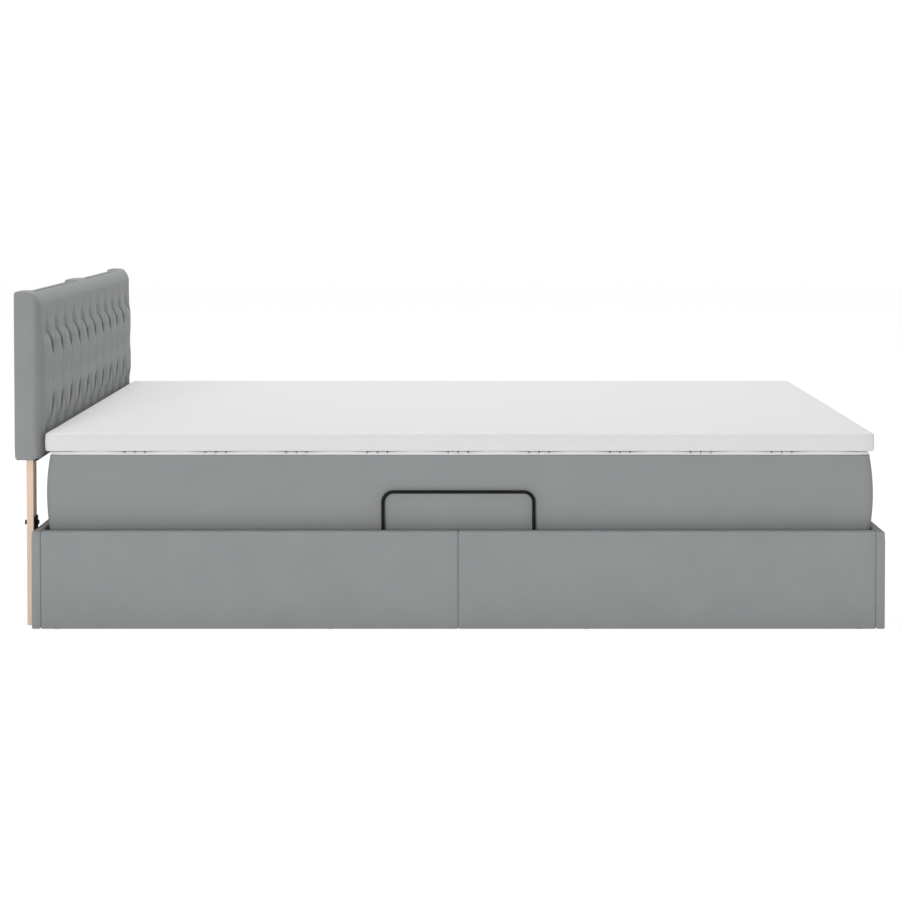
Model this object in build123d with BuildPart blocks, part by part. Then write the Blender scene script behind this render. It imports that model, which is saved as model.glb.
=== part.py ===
# A storage bed: a fabric covered box whose slatted frame lifts along one long side,
# with a mattress, a topper and a tufted headboard that stands on its own two legs.
# The head is towards -X, the side that lifts is -Y, and the floor is Z = 0.
from build123d import *
from math import asin, atan2, cos, hypot, radians, sin
import os

os.makedirs("parts", exist_ok=True)

# Overall sizes, in millimetres
box_length = 2030.0
box_width = 1250.0
box_height = 234.0
headboard_standoff = 45.0
glide_height = 3.0

# Sizes and fits that several pieces share
board_thickness = 18.0
cover_thickness = 2.0
edge_radius = 3.5
seam_gap = 1.6
seat_gap = 0.3
running_gap = 0.05
cut_overrun = 2.0

panel_thickness = board_thickness + 2 * cover_thickness
overall_length = box_length + headboard_standoff
foot_outer_x = overall_length / 2
head_outer_x = foot_outer_x - box_length
head_inner_x = head_outer_x + panel_thickness
foot_inner_x = foot_outer_x - panel_thickness
middle_x = (head_outer_x + foot_outer_x) / 2
side_outer_y = box_width / 2
side_inner_y = side_outer_y - panel_thickness


def block(low, high, mode=Mode.ADD):
    """A rectangular solid between two opposite corners."""
    size = [b - a for a, b in zip(low, high)]
    middle = [(a + b) / 2 for a, b in zip(low, high)]
    with Locations(tuple(middle)):
        Box(*size, mode=mode)


def rod(start, end, radius, mode=Mode.ADD):
    """A round bar from one point to another."""
    run = Vector(*end) - Vector(*start)
    with Locations(Plane(origin=start, z_dir=run)):
        Cylinder(radius, run.length, align=(Align.CENTER, Align.CENTER, Align.MIN), mode=mode)


def write(piece, name):
    """Labels a finished piece and writes it as its own file."""
    piece.part.label = name
    export_step(piece.part, f"parts/{name}.step")


def upholstered_panel(name, low, high, pilots=()):
    """A board and the thin padded cover that wraps its faces, ends and top."""
    wrap = cover_thickness
    board_low = (low[0] + wrap, low[1] + wrap, low[2])
    board_high = (high[0] - wrap, high[1] - wrap, high[2] - wrap)
    with BuildPart() as board:
        block(board_low, board_high)
        for start, end, radius in pilots:
            rod(start, end, radius, mode=Mode.SUBTRACT)
    with BuildPart() as cover:
        block(low, high)
        rounded = cover.edges().group_by(Axis.Z)
        fillet(rounded[1] + rounded[2], radius=edge_radius)
        block((board_low[0], board_low[1], low[2] - cut_overrun), board_high, mode=Mode.SUBTRACT)
        for start, end, radius in pilots:
            rod(start, end, radius, mode=Mode.SUBTRACT)
    write(board, f"{name}_board")
    write(cover, f"{name}_cover")


# Headboard legs and their brackets come first, because the head panel is drilled for them
leg_thickness = 16.0
leg_width = 35.0
leg_inset_y = 40.0
leg_bracket_thickness = 3.5
leg_bracket_rise = 27.0
leg_bracket_drop = 104.0
leg_bolt_radius = 4.0
leg_bolt_head_radius = 5.75
leg_bolt_head_height = 7.5
leg_nut_height = 6.0
leg_bolt_rise = 12.0
bracket_screw_radius = 2.5
bracket_screw_length = 18.0
bracket_screw_drops = (24.0, 64.0)

leg_outer_y = side_outer_y - leg_inset_y
leg_bracket_x = head_outer_x - leg_bracket_thickness
leg_back_x = leg_bracket_x - leg_thickness
leg_middle_y = leg_outer_y - leg_width / 2
leg_bolt_z = box_height + leg_bolt_rise
bracket_screws = []
for side in (-1, 1):
    for drop in bracket_screw_drops:
        screw_start = (leg_bracket_x, side * leg_middle_y, box_height - drop)
        screw_end = (leg_bracket_x + bracket_screw_length, side * leg_middle_y, box_height - drop)
        bracket_screws.append((screw_start, screw_end, bracket_screw_radius))

# Box panels: two full-width ends, and long sides that are split at mid length
head_low = (head_outer_x, -side_outer_y, glide_height)
head_high = (head_inner_x, side_outer_y, box_height)
upholstered_panel("head_panel", head_low, head_high, bracket_screws)
foot_low = (foot_inner_x, -side_outer_y, glide_height)
foot_high = (foot_outer_x, side_outer_y, box_height)
upholstered_panel("foot_panel", foot_low, foot_high)
side_spans = {
    "head": (head_inner_x, middle_x - seam_gap / 2),
    "foot": (middle_x + seam_gap / 2, foot_inner_x),
}
for side, near_y, far_y in (
    ("near", -side_outer_y, -side_inner_y),
    ("far", side_inner_y, side_outer_y),
):
    for end, (start_x, end_x) in side_spans.items():
        low = (start_x, near_y, glide_height)
        high = (end_x, far_y, box_height)
        upholstered_panel(f"{side}_side_{end}", low, high)

# Storage floor: battens round the inside, a crossboard, and two thin floor boards
batten_width = 20.0
batten_height = 20.0
batten_lift = 8.0
floor_thickness = 5.0
divider_thickness = 16.0
joiner_thickness = 3.0
joiner_length = 120.0
corner_block_size = 30.0
rail_size = 30.0
rail_wall = 1.5
rail_top_drop = 28.3
pad_height = 3.0
pad_radius = 10.0
ledge_depth = 32.0
ledge_height = 20.0

rail_top_z = box_height - rail_top_drop
rail_bottom_z = rail_top_z - rail_size
batten_z = glide_height + batten_lift
floor_z = batten_z + batten_height
floor_top_z = floor_z + floor_thickness
ledge_top_z = rail_bottom_z - pad_height

with BuildPart() as floor_battens:
    for start_x, end_x in side_spans.values():
        for side in (-1, 1):
            inner = side * (side_inner_y - batten_width)
            outer = side * side_inner_y
            block((start_x, min(inner, outer), batten_z), (end_x, max(inner, outer), floor_z))
    reach_y = side_inner_y - batten_width
    block((head_inner_x, -reach_y, batten_z), (head_inner_x + batten_width, reach_y, floor_z))
    block((foot_inner_x - batten_width, -reach_y, batten_z), (foot_inner_x, reach_y, floor_z))
write(floor_battens, "floor_battens")

# The crossboard stands on the floor at mid length and carries the seam of the floor boards
divider_low_x = middle_x - divider_thickness / 2
divider_high_x = middle_x + divider_thickness / 2
with BuildPart() as divider_board:
    reach_y = side_inner_y - joiner_thickness
    block((divider_low_x, -reach_y, floor_top_z), (divider_high_x, reach_y, ledge_top_z))
    for side in (-1, 1):
        notch = side * (side_inner_y - ledge_depth)
        end = side * (side_inner_y + cut_overrun)
        block(
            (divider_low_x - cut_overrun, min(notch, end), ledge_top_z - ledge_height),
            (divider_high_x + cut_overrun, max(notch, end), ledge_top_z + cut_overrun),
            mode=Mode.SUBTRACT,
        )
write(divider_board, "divider_board")

with BuildPart() as floor_boards:
    for start_x, end_x in side_spans.values():
        block((start_x, -side_inner_y, floor_z), (end_x, side_inner_y, floor_top_z))
write(floor_boards, "floor_boards")

# Steel plates behind each long side's seam
with BuildPart() as joiner_plates:
    for side in (-1, 1):
        inner = side * (side_inner_y - joiner_thickness)
        outer = side * side_inner_y
        low = (middle_x - joiner_length / 2, min(inner, outer), floor_top_z)
        high = (middle_x + joiner_length / 2, max(inner, outer), ledge_top_z - ledge_height)
        block(low, high)
write(joiner_plates, "joiner_plates")

# Wooden blocks in the four inner corners, with the screws that hold them to the end panels
corner_screw_radius = 3.0
corner_screw_head_radius = 5.5
corner_screw_head_height = 2.5
corner_screw_shares = (0.25, 0.75)
corner_block_tops = {-1: ledge_top_z - ledge_height, 1: ledge_top_z}
corner_screws = []
for start_x, inward in ((head_inner_x, 1), (foot_inner_x, -1)):
    for side in (-1, 1):
        for share in corner_screw_shares:
            screw_y = side * (side_inner_y - corner_block_size / 2)
            screw_z = floor_top_z + share * (corner_block_tops[side] - floor_top_z)
            corner_screws.append((start_x, inward, screw_y, screw_z))
with BuildPart() as corner_blocks:
    for start_x, inward in ((head_inner_x, 1), (foot_inner_x, -1)):
        for side in (-1, 1):
            ends_x = sorted((start_x, start_x + inward * corner_block_size))
            ends_y = sorted((side * side_inner_y, side * (side_inner_y - corner_block_size)))
            low = (ends_x[0], ends_y[0], floor_top_z)
            block(low, (ends_x[1], ends_y[1], corner_block_tops[side]))
    for start_x, inward, screw_y, screw_z in corner_screws:
        begin = (start_x, screw_y, screw_z)
        finish = (start_x + inward * (corner_block_size + cut_overrun), screw_y, screw_z)
        rod(begin, finish, corner_screw_radius, mode=Mode.SUBTRACT)
write(corner_blocks, "corner_blocks")
with BuildPart() as corner_block_screws:
    for start_x, inward, screw_y, screw_z in corner_screws:
        face_x = start_x + inward * corner_block_size
        rod((start_x, screw_y, screw_z), (face_x, screw_y, screw_z), corner_screw_radius)
        head_x = face_x + inward * corner_screw_head_height
        rod((face_x, screw_y, screw_z), (head_x, screw_y, screw_z), corner_screw_head_radius)
write(corner_block_screws, "corner_block_screws")

# Ledges along the lifting side, with rubber pads that the closed frame rests on
pad_shares = (0.12, 0.88)
with BuildPart() as rest_ledges:
    for start_x, end_x in side_spans.values():
        low = (start_x, -side_inner_y, ledge_top_z - ledge_height)
        block(low, (end_x, -(side_inner_y - ledge_depth), ledge_top_z))
write(rest_ledges, "rest_ledges")
pad_y = -(side_inner_y - ledge_depth + pad_radius + seat_gap)
with BuildPart() as rest_pads:
    for start_x, end_x in side_spans.values():
        for share in pad_shares:
            pad_x = start_x + share * (end_x - start_x)
            rod((pad_x, pad_y, ledge_top_z), (pad_x, pad_y, rail_bottom_z), pad_radius)
write(rest_pads, "rest_pads")

# Round glides under the panels
glide_radius = 9.0
glide_shares = (0.03, 0.35, 0.65, 0.97)
with BuildPart() as floor_glides:
    for side in (-1, 1):
        for share in glide_shares:
            glide_x = head_outer_x + share * box_length
            glide_y = side * (side_outer_y - panel_thickness / 2)
            rod((glide_x, glide_y, 0), (glide_x, glide_y, glide_height), glide_radius)
write(floor_glides, "floor_glides")

# Headboard sizes
headboard_side_inset = 25.0
headboard_bottom_z = 401.0
headboard_top_z = 803.0
headboard_depth = 60.0
back_recess = 29.0
end_post_width = 53.0
centre_post_width = 78.0
ply_thickness = 12.0
leg_mortise_depth = 150.0
mortise_gap = 0.3
strip_thickness = 2.0
tuft_relief = 8.5
tuft_columns = 11
tuft_edge_margin = 83.0
tuft_first_drop = 96.0
tuft_row_pitch = 119.0
pleat_half_width = 8.0
pleat_depth = 7.0
dimple_mouth_radius = 17.0
dimple_floor_radius = 10.0
dimple_depth = 12.0
button_radius = 9.6
button_height = 5.0
button_round = 4.2
top_padding = 6.5
top_roll_height = 36.0
top_roll_depth = 36.0
field_rise = 25.0
side_roll_width = 30.0
corner_drop = 5.0

headboard_back_x = head_outer_x - headboard_standoff
headboard_front_x = headboard_back_x + headboard_depth
cushion_face_x = headboard_front_x + tuft_relief
recess_x = headboard_back_x + back_recess
ply_back_x = recess_x + cover_thickness
ply_front_x = ply_back_x + ply_thickness
headboard_half = side_outer_y - headboard_side_inset
headboard_width = 2 * headboard_half
inner_half = headboard_half - cover_thickness
post_back_x = headboard_back_x + cover_thickness
post_bottom_z = headboard_bottom_z + cover_thickness
post_top_z = headboard_top_z - top_padding
end_post_inner_y = headboard_half - end_post_width + cover_thickness
leg_top_z = headboard_bottom_z + leg_mortise_depth
roll_start_x = headboard_front_x - top_roll_depth
roll_share = (ply_front_x - roll_start_x) / top_roll_depth
roll_at_ply_z = headboard_top_z - top_roll_height * (1 - cos(asin(roll_share)))

# The two timber end posts, with a mortise from below for the leg
for side, name in ((-1, "near"), (1, "far")):
    span_y = sorted((side * end_post_inner_y, side * inner_half))
    hole_y = sorted((side * (leg_outer_y - leg_width - mortise_gap), side * (leg_outer_y + mortise_gap)))
    with BuildPart() as end_post:
        block((post_back_x, span_y[0], post_bottom_z), (ply_front_x, span_y[1], post_top_z))
        block(
            (leg_back_x - mortise_gap, hole_y[0], post_bottom_z - cut_overrun),
            (leg_bracket_x + mortise_gap, hole_y[1], leg_top_z),
            mode=Mode.SUBTRACT,
        )
    write(end_post, f"headboard_post_{name}")

with BuildPart() as centre_post:
    reach_y = centre_post_width / 2 - cover_thickness
    block((post_back_x, -reach_y, post_bottom_z), (ply_back_x, reach_y, post_top_z))
write(centre_post, "headboard_post_centre")

with BuildPart() as headboard_ply:
    block(
        (ply_back_x, -end_post_inner_y, post_bottom_z),
        (ply_front_x, end_post_inner_y, post_top_z),
    )
write(headboard_ply, "headboard_ply")

# The fabric round the sides and back, which dips between the three posts
with BuildPart() as headboard_back_cover:
    low_z, high_z = headboard_bottom_z, headboard_top_z
    block((recess_x, -headboard_half, low_z), (ply_front_x, headboard_half, high_z))
    post_inner_y = headboard_half - end_post_width
    block((headboard_back_x, -headboard_half, low_z), (recess_x, -post_inner_y, high_z))
    block((headboard_back_x, post_inner_y, low_z), (recess_x, headboard_half, high_z))
    centre_y = centre_post_width / 2
    block((headboard_back_x, -centre_y, low_z), (recess_x, centre_y, high_z))
    back_edges = headboard_back_cover.edges().group_by(Axis.X)[0]
    fillet(back_edges, radius=edge_radius)
    with BuildSketch(Plane.XZ.offset(-headboard_half - cut_overrun)):
        Polygon(
            (roll_start_x, headboard_top_z),
            (ply_front_x, roll_at_ply_z),
            (ply_front_x + cut_overrun, headboard_top_z + cut_overrun),
            align=None,
        )
    extrude(amount=headboard_width + 2 * cut_overrun, mode=Mode.SUBTRACT)
    block(
        (ply_back_x, -inner_half, post_bottom_z),
        (ply_front_x + cut_overrun, inner_half, post_top_z),
        mode=Mode.SUBTRACT,
    )
    post_spans = (
        (-inner_half, -end_post_inner_y),
        (-(centre_y - cover_thickness), centre_y - cover_thickness),
        (end_post_inner_y, inner_half),
    )
    for low_y, high_y in post_spans:
        block((post_back_x, low_y, post_bottom_z), (ply_back_x, high_y, post_top_z), mode=Mode.SUBTRACT)
    for side in (-1, 1):
        hole_y = sorted((side * (leg_outer_y - leg_width - mortise_gap), side * (leg_outer_y + mortise_gap)))
        block(
            (leg_back_x - mortise_gap, hole_y[0], low_z - cut_overrun),
            (leg_bracket_x + mortise_gap, hole_y[1], post_bottom_z),
            mode=Mode.SUBTRACT,
        )
write(headboard_back_cover, "headboard_back_cover")

# Tuft places: full rows at the top and bottom, and a staggered row between them
tuft_pitch = (headboard_width - 2 * tuft_edge_margin) / (tuft_columns - 1)
first_tuft_y = -headboard_half + tuft_edge_margin
row_z = [headboard_top_z - tuft_first_drop - row * tuft_row_pitch for row in range(3)]
top_row = [(first_tuft_y + i * tuft_pitch, row_z[0]) for i in range(tuft_columns)]
middle_row = [(first_tuft_y + (i + 0.5) * tuft_pitch, row_z[1]) for i in range(tuft_columns - 1)]
bottom_row = [(y, row_z[2]) for y, z in top_row]
pleats = []
for i, centre in enumerate(middle_row):
    for outer_row in (top_row, bottom_row):
        pleats.append((outer_row[i], centre))
        pleats.append((outer_row[i + 1], centre))
for y, z in top_row:
    pleats.append(((y, z), (y, headboard_top_z + cut_overrun)))
for y, z in bottom_row:
    pleats.append(((y, z), (y, headboard_bottom_z - cut_overrun)))


def pleat_cut(start, end):
    """A V-shaped groove across the cushion's face, from one tuft to the next."""
    origin = (cushion_face_x, start[0], start[1])
    run = Vector(0, end[0] - start[0], end[1] - start[1])
    with BuildPart(mode=Mode.PRIVATE) as groove:
        with BuildSketch(Plane(origin=origin, x_dir=(1, 0, 0), z_dir=run)):
            Polygon(
                (cut_overrun, pleat_half_width * (1 + cut_overrun / pleat_depth)),
                (cut_overrun, -pleat_half_width * (1 + cut_overrun / pleat_depth)),
                (-pleat_depth, 0),
                align=None,
            )
        extrude(amount=run.length)
    return groove.part


def dimple_cut(y, z):
    """A cone-shaped hollow that a button pulls into the cushion."""
    slope = (dimple_mouth_radius - dimple_floor_radius) / dimple_depth
    with BuildPart(mode=Mode.PRIVATE) as hollow:
        with Locations(Plane(origin=(cushion_face_x - dimple_depth, y, z), z_dir=(1, 0, 0))):
            Cone(
                dimple_floor_radius,
                dimple_mouth_radius + slope * cut_overrun,
                dimple_depth + cut_overrun,
                align=(Align.CENTER, Align.CENTER, Align.MIN),
            )
    return hollow.part


cushion_cuts = [pleat_cut(start, end) for start, end in pleats]
cushion_cuts += [dimple_cut(y, z) for y, z in top_row + middle_row + bottom_row]

# The cushion rolls back at its top edge and at both sides, and is sewn into diamonds
with BuildPart() as headboard_cushion:
    with BuildSketch(Plane.XZ.offset(-headboard_half)):
        with BuildLine():
            roll_mid = (
                roll_start_x + top_roll_depth * sin(radians(55)),
                headboard_top_z - top_roll_height * (1 - cos(radians(55))),
            )
            Line((ply_front_x, headboard_bottom_z), (ply_front_x, roll_at_ply_z))
            ThreePointArc(
                (ply_front_x, roll_at_ply_z),
                roll_mid,
                (headboard_front_x, headboard_top_z - top_roll_height),
            )
            Polyline(
                (headboard_front_x, headboard_top_z - top_roll_height),
                (headboard_front_x, row_z[0] + field_rise),
                (cushion_face_x, row_z[0]),
                (cushion_face_x, headboard_bottom_z + side_roll_width),
            )
            ThreePointArc(
                (cushion_face_x, headboard_bottom_z + side_roll_width),
                (cushion_face_x - corner_drop / 2, headboard_bottom_z + side_roll_width / 3),
                (headboard_front_x - corner_drop, headboard_bottom_z),
            )
            Line((headboard_front_x - corner_drop, headboard_bottom_z), (ply_front_x, headboard_bottom_z))
        make_face()
    extrude(amount=headboard_width)
    with BuildSketch(Plane.XY.offset(headboard_bottom_z)):
        with BuildLine():
            roll_y = headboard_half - side_roll_width
            Line((ply_front_x, -headboard_half), (ply_front_x, headboard_half))
            Line((ply_front_x, headboard_half), (headboard_front_x, headboard_half))
            ThreePointArc(
                (headboard_front_x, headboard_half),
                (cushion_face_x - tuft_relief / 4, headboard_half - side_roll_width / 2),
                (cushion_face_x, roll_y),
            )
            Line((cushion_face_x, roll_y), (cushion_face_x, -roll_y))
            ThreePointArc(
                (cushion_face_x, -roll_y),
                (cushion_face_x - tuft_relief / 4, -(headboard_half - side_roll_width / 2)),
                (headboard_front_x, -headboard_half),
            )
            Line((headboard_front_x, -headboard_half), (ply_front_x, -headboard_half))
        make_face()
    extrude(amount=headboard_top_z - headboard_bottom_z, mode=Mode.INTERSECT)
    add(cushion_cuts, mode=Mode.SUBTRACT)
write(headboard_cushion, "headboard_cushion")

# Fabric covered buttons, one in each dimple
button_seat_x = cushion_face_x - dimple_depth + seat_gap
button_planes = [
    Plane(origin=(button_seat_x, y, z), z_dir=(1, 0, 0)) for y, z in top_row + middle_row + bottom_row
]
with BuildPart() as headboard_buttons:
    with Locations(*button_planes):
        Cylinder(button_radius, button_height, align=(Align.CENTER, Align.CENTER, Align.MIN))
    fillet(headboard_buttons.edges().group_by(Axis.X)[-1], radius=button_round)
write(headboard_buttons, "headboard_buttons")

# A black strip closes the headboard's underside
with BuildPart() as headboard_underside:
    low = (headboard_back_x + edge_radius, -inner_half, headboard_bottom_z - strip_thickness)
    high = (headboard_front_x - corner_drop, inner_half, headboard_bottom_z)
    block(low, high)
    for side in (-1, 1):
        hole_y = sorted((side * (leg_outer_y - leg_width - mortise_gap), side * (leg_outer_y + mortise_gap)))
        block(
            (leg_back_x - mortise_gap, hole_y[0], low[2] - cut_overrun),
            (leg_bracket_x + mortise_gap, hole_y[1], high[2] + cut_overrun),
            mode=Mode.SUBTRACT,
        )
write(headboard_underside, "headboard_underside")

# Legs, their steel brackets, the bolts with nuts, and the countersunk bracket screws
leg_foot_chamfer = 2.0
for side, name in ((-1, "near"), (1, "far")):
    span_y = sorted((side * (leg_outer_y - leg_width), side * leg_outer_y))
    with BuildPart() as leg:
        block((leg_back_x, span_y[0], 0), (leg_bracket_x, span_y[1], leg_top_z))
        chamfer(leg.edges().group_by(Axis.Z)[0], length=leg_foot_chamfer)
        bolt_y = side * leg_middle_y
        rod(
            (leg_back_x - cut_overrun, bolt_y, leg_bolt_z),
            (leg_bracket_x + cut_overrun, bolt_y, leg_bolt_z),
            leg_bolt_radius,
            mode=Mode.SUBTRACT,
        )
    write(leg, f"headboard_leg_{name}")
with BuildPart() as leg_brackets:
    for side in (-1, 1):
        span_y = sorted((side * (leg_outer_y - leg_width), side * leg_outer_y))
        low = (leg_bracket_x, span_y[0], box_height - leg_bracket_drop)
        block(low, (head_outer_x, span_y[1], box_height + leg_bracket_rise))
        rod(
            (leg_bracket_x - cut_overrun, side * leg_middle_y, leg_bolt_z),
            (head_outer_x + cut_overrun, side * leg_middle_y, leg_bolt_z),
            leg_bolt_radius,
            mode=Mode.SUBTRACT,
        )
    for start, end, radius in bracket_screws:
        rod(start, end, radius, mode=Mode.SUBTRACT)
write(leg_brackets, "leg_brackets")
with BuildPart() as leg_bolts:
    for side in (-1, 1):
        bolt_y = side * leg_middle_y
        head_x = leg_back_x - leg_bolt_head_height
        tip_x = head_outer_x + leg_nut_height
        rod((head_x, bolt_y, leg_bolt_z), (leg_back_x, bolt_y, leg_bolt_z), leg_bolt_head_radius)
        rod((leg_back_x, bolt_y, leg_bolt_z), (tip_x, bolt_y, leg_bolt_z), leg_bolt_radius)
        with BuildSketch(Plane(origin=(head_outer_x, bolt_y, leg_bolt_z), z_dir=(1, 0, 0))):
            RegularPolygon(leg_bolt_head_radius, 6)
        extrude(amount=leg_nut_height)
write(leg_bolts, "leg_bolts")
with BuildPart() as leg_bracket_screws:
    for start, end, radius in bracket_screws:
        rod(start, end, radius)
write(leg_bracket_screws, "leg_bracket_screws")

# Lifting frame: square tubes round the edge, one down the middle and two across
end_gap = 30.0
near_gap = 13.0
hinge_gap = 18.0
frame_low_x = head_inner_x + end_gap
frame_high_x = foot_inner_x - end_gap
frame_near_y = -side_inner_y + near_gap
frame_far_y = side_inner_y - hinge_gap


def tube(low, high, along):
    """A square steel tube, open at both ends."""
    inset = [rail_wall, rail_wall, rail_wall]
    inset[along] = -cut_overrun
    block(low, high)
    hollow_low = [a + b for a, b in zip(low, inset)]
    hollow_high = [a - b for a, b in zip(high, inset)]
    block(hollow_low, hollow_high, mode=Mode.SUBTRACT)


with BuildPart() as frame_rail_near:
    low = (frame_low_x, frame_near_y, rail_bottom_z)
    tube(low, (frame_high_x, frame_near_y + rail_size, rail_top_z), 0)
write(frame_rail_near, "frame_rail_near")
with BuildPart() as frame_rail_far:
    low = (frame_low_x, frame_far_y - rail_size, rail_bottom_z)
    tube(low, (frame_high_x, frame_far_y, rail_top_z), 0)
write(frame_rail_far, "frame_rail_far")
cross_low_y = frame_near_y + rail_size
cross_high_y = frame_far_y - rail_size
for end, start_x in (("head", frame_low_x), ("foot", frame_high_x - rail_size)):
    with BuildPart() as frame_end_rail:
        low = (start_x, cross_low_y, rail_bottom_z)
        tube(low, (start_x + rail_size, cross_high_y, rail_top_z), 1)
    write(frame_end_rail, f"frame_end_rail_{end}")
frame_middle_y = (cross_low_y + cross_high_y) / 2
with BuildPart() as frame_centre_rail:
    low = (frame_low_x + rail_size, frame_middle_y - rail_size / 2, rail_bottom_z)
    tube(low, (frame_high_x - rail_size, frame_middle_y + rail_size / 2, rail_top_z), 0)
write(frame_centre_rail, "frame_centre_rail")
with BuildPart() as frame_cross_rails:
    for low_y, high_y in (
        (cross_low_y, frame_middle_y - rail_size / 2),
        (frame_middle_y + rail_size / 2, cross_high_y),
    ):
        low = (middle_x - rail_size / 2, low_y, rail_bottom_z)
        tube(low, (middle_x + rail_size / 2, high_y, rail_top_z), 1)
write(frame_cross_rails, "frame_cross_rails")

# Sprung slats in plastic holders along both long rails
slat_count = 14
slat_width = 68.0
slat_thickness = 8.0
holder_wall = 2.5
holder_depth = 30.0
slat_engagement = 26.0
slat_bottom_z = rail_top_z + holder_wall
holder_top_z = slat_bottom_z + slat_thickness + holder_wall
slat_near_y = frame_near_y + holder_depth - slat_engagement
slat_far_y = frame_far_y - holder_depth + slat_engagement
slat_pitch = (frame_high_x - frame_low_x) / slat_count
slat_places = [frame_low_x + (i + 0.5) * slat_pitch for i in range(slat_count)]
with BuildPart() as slats:
    for slat_x in slat_places:
        low = (slat_x - slat_width / 2, slat_near_y, slat_bottom_z)
        block(low, (slat_x + slat_width / 2, slat_far_y, slat_bottom_z + slat_thickness))
write(slats, "slats")
for side, outer_y, inner_y in (
    ("near", frame_near_y, frame_near_y + holder_depth),
    ("far", frame_far_y, frame_far_y - holder_depth),
):
    with BuildPart() as slat_holders:
        for slat_x in slat_places:
            half = slat_width / 2 + holder_wall
            span_y = sorted((outer_y, inner_y))
            block((slat_x - half, span_y[0], rail_top_z), (slat_x + half, span_y[1], holder_top_z))
            low = (slat_x - slat_width / 2, slat_near_y, slat_bottom_z)
            high = (slat_x + slat_width / 2, slat_far_y, slat_bottom_z + slat_thickness)
            block(low, high, mode=Mode.SUBTRACT)
    write(slat_holders, f"slat_holders_{side}")

# The pull handle: a bent rod welded to two plates on the lifting rail
handle_span = 361.0
handle_rod_radius = 4.0
handle_bend_radius = 25.0
handle_top_z = 323.0
handle_plate_width = 34.0
handle_plate_thickness = 4.0
handle_y = frame_near_y - handle_rod_radius - seat_gap
handle_foot_z = rail_bottom_z + rail_wall
with BuildPart() as handle:
    with BuildLine() as handle_line:
        half = handle_span / 2
        FilletPolyline(
            (middle_x - half, handle_y, handle_foot_z),
            (middle_x - half, handle_y, handle_top_z),
            (middle_x + half, handle_y, handle_top_z),
            (middle_x + half, handle_y, handle_foot_z),
            radius=handle_bend_radius,
        )
    foot_plane = Plane(origin=(middle_x - half, handle_y, handle_foot_z), z_dir=(0, 0, 1))
    with BuildSketch(foot_plane):
        Circle(handle_rod_radius)
    sweep(path=handle_line.line)
    for side in (-1, 1):
        plate_x = middle_x + side * half
        block(
            (plate_x - handle_plate_width / 2, frame_near_y - handle_plate_thickness, handle_foot_z),
            (plate_x + handle_plate_width / 2, frame_near_y, rail_top_z - rail_wall),
        )
write(handle, "handle")

# Three hinges along the far side: clevis brackets, pins, and lugs welded to the frame
hinge_inset_y = 8.5
hinge_drop_z = 8.0
pin_radius = 3.0
pin_head_radius = 4.5
pin_head_height = 2.0
eye_radius = 5.0
lug_thickness = 4.0
ear_thickness = 3.0
ear_gap = 0.5
hinge_plate_thickness = 2.5
hinge_plate_width = 50.0
hinge_plate_height = 60.0
lug_height = 26.0
hinge_shares = (0.1, 0.5, 0.9)
pivot_y = side_inner_y - hinge_inset_y
pivot_z = box_height - hinge_drop_z
hinge_places = [frame_low_x + share * (frame_high_x - frame_low_x) for share in hinge_shares]
hinge_places[1] += joiner_length
ear_half = lug_thickness / 2 + ear_gap + ear_thickness
with BuildPart() as hinge_brackets:
    for hinge_x in hinge_places:
        low = (
            hinge_x - hinge_plate_width / 2,
            side_inner_y - hinge_plate_thickness,
            pivot_z + eye_radius - hinge_plate_height,
        )
        block(low, (hinge_x + hinge_plate_width / 2, side_inner_y, pivot_z + eye_radius))
        for side in (-1, 1):
            ear_x = sorted((hinge_x + side * (ear_half - ear_thickness), hinge_x + side * ear_half))
            rod((ear_x[0], pivot_y, pivot_z), (ear_x[1], pivot_y, pivot_z), eye_radius)
            block(
                (ear_x[0], pivot_y, pivot_z - eye_radius),
                (ear_x[1], side_inner_y - hinge_plate_thickness, pivot_z + eye_radius),
            )
        rod(
            (hinge_x - ear_half - cut_overrun, pivot_y, pivot_z),
            (hinge_x + ear_half + cut_overrun, pivot_y, pivot_z),
            pin_radius + running_gap,
            mode=Mode.SUBTRACT,
        )
write(hinge_brackets, "hinge_brackets")
with BuildPart() as hinge_pins:
    for hinge_x in hinge_places:
        start = (hinge_x - ear_half - pin_head_height, pivot_y, pivot_z)
        rod(start, (hinge_x + ear_half + pin_head_height, pivot_y, pivot_z), pin_radius)
        rod(start, (hinge_x - ear_half, pivot_y, pivot_z), pin_head_radius)
write(hinge_pins, "hinge_pins")
with BuildPart() as hinge_lugs:
    for hinge_x in hinge_places:
        lug_plane = Plane(origin=(hinge_x - lug_thickness / 2, 0, 0), x_dir=(0, 1, 0), z_dir=(1, 0, 0))
        with BuildSketch(lug_plane):
            with BuildLine():
                Polyline(
                    (frame_far_y, rail_top_z - lug_height),
                    (frame_far_y, rail_top_z),
                    (pivot_y - eye_radius, pivot_z - eye_radius),
                    (pivot_y - eye_radius, pivot_z),
                    (pivot_y + eye_radius, pivot_z),
                    (pivot_y + eye_radius, pivot_z - 2 * eye_radius),
                    (frame_far_y, rail_top_z - lug_height),
                )
            make_face()
            with Locations((pivot_y, pivot_z)):
                Circle(eye_radius)
            with Locations((pivot_y, pivot_z)):
                Circle(pin_radius + running_gap, mode=Mode.SUBTRACT)
        extrude(amount=lug_thickness)
write(hinge_lugs, "hinge_lugs")

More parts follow.
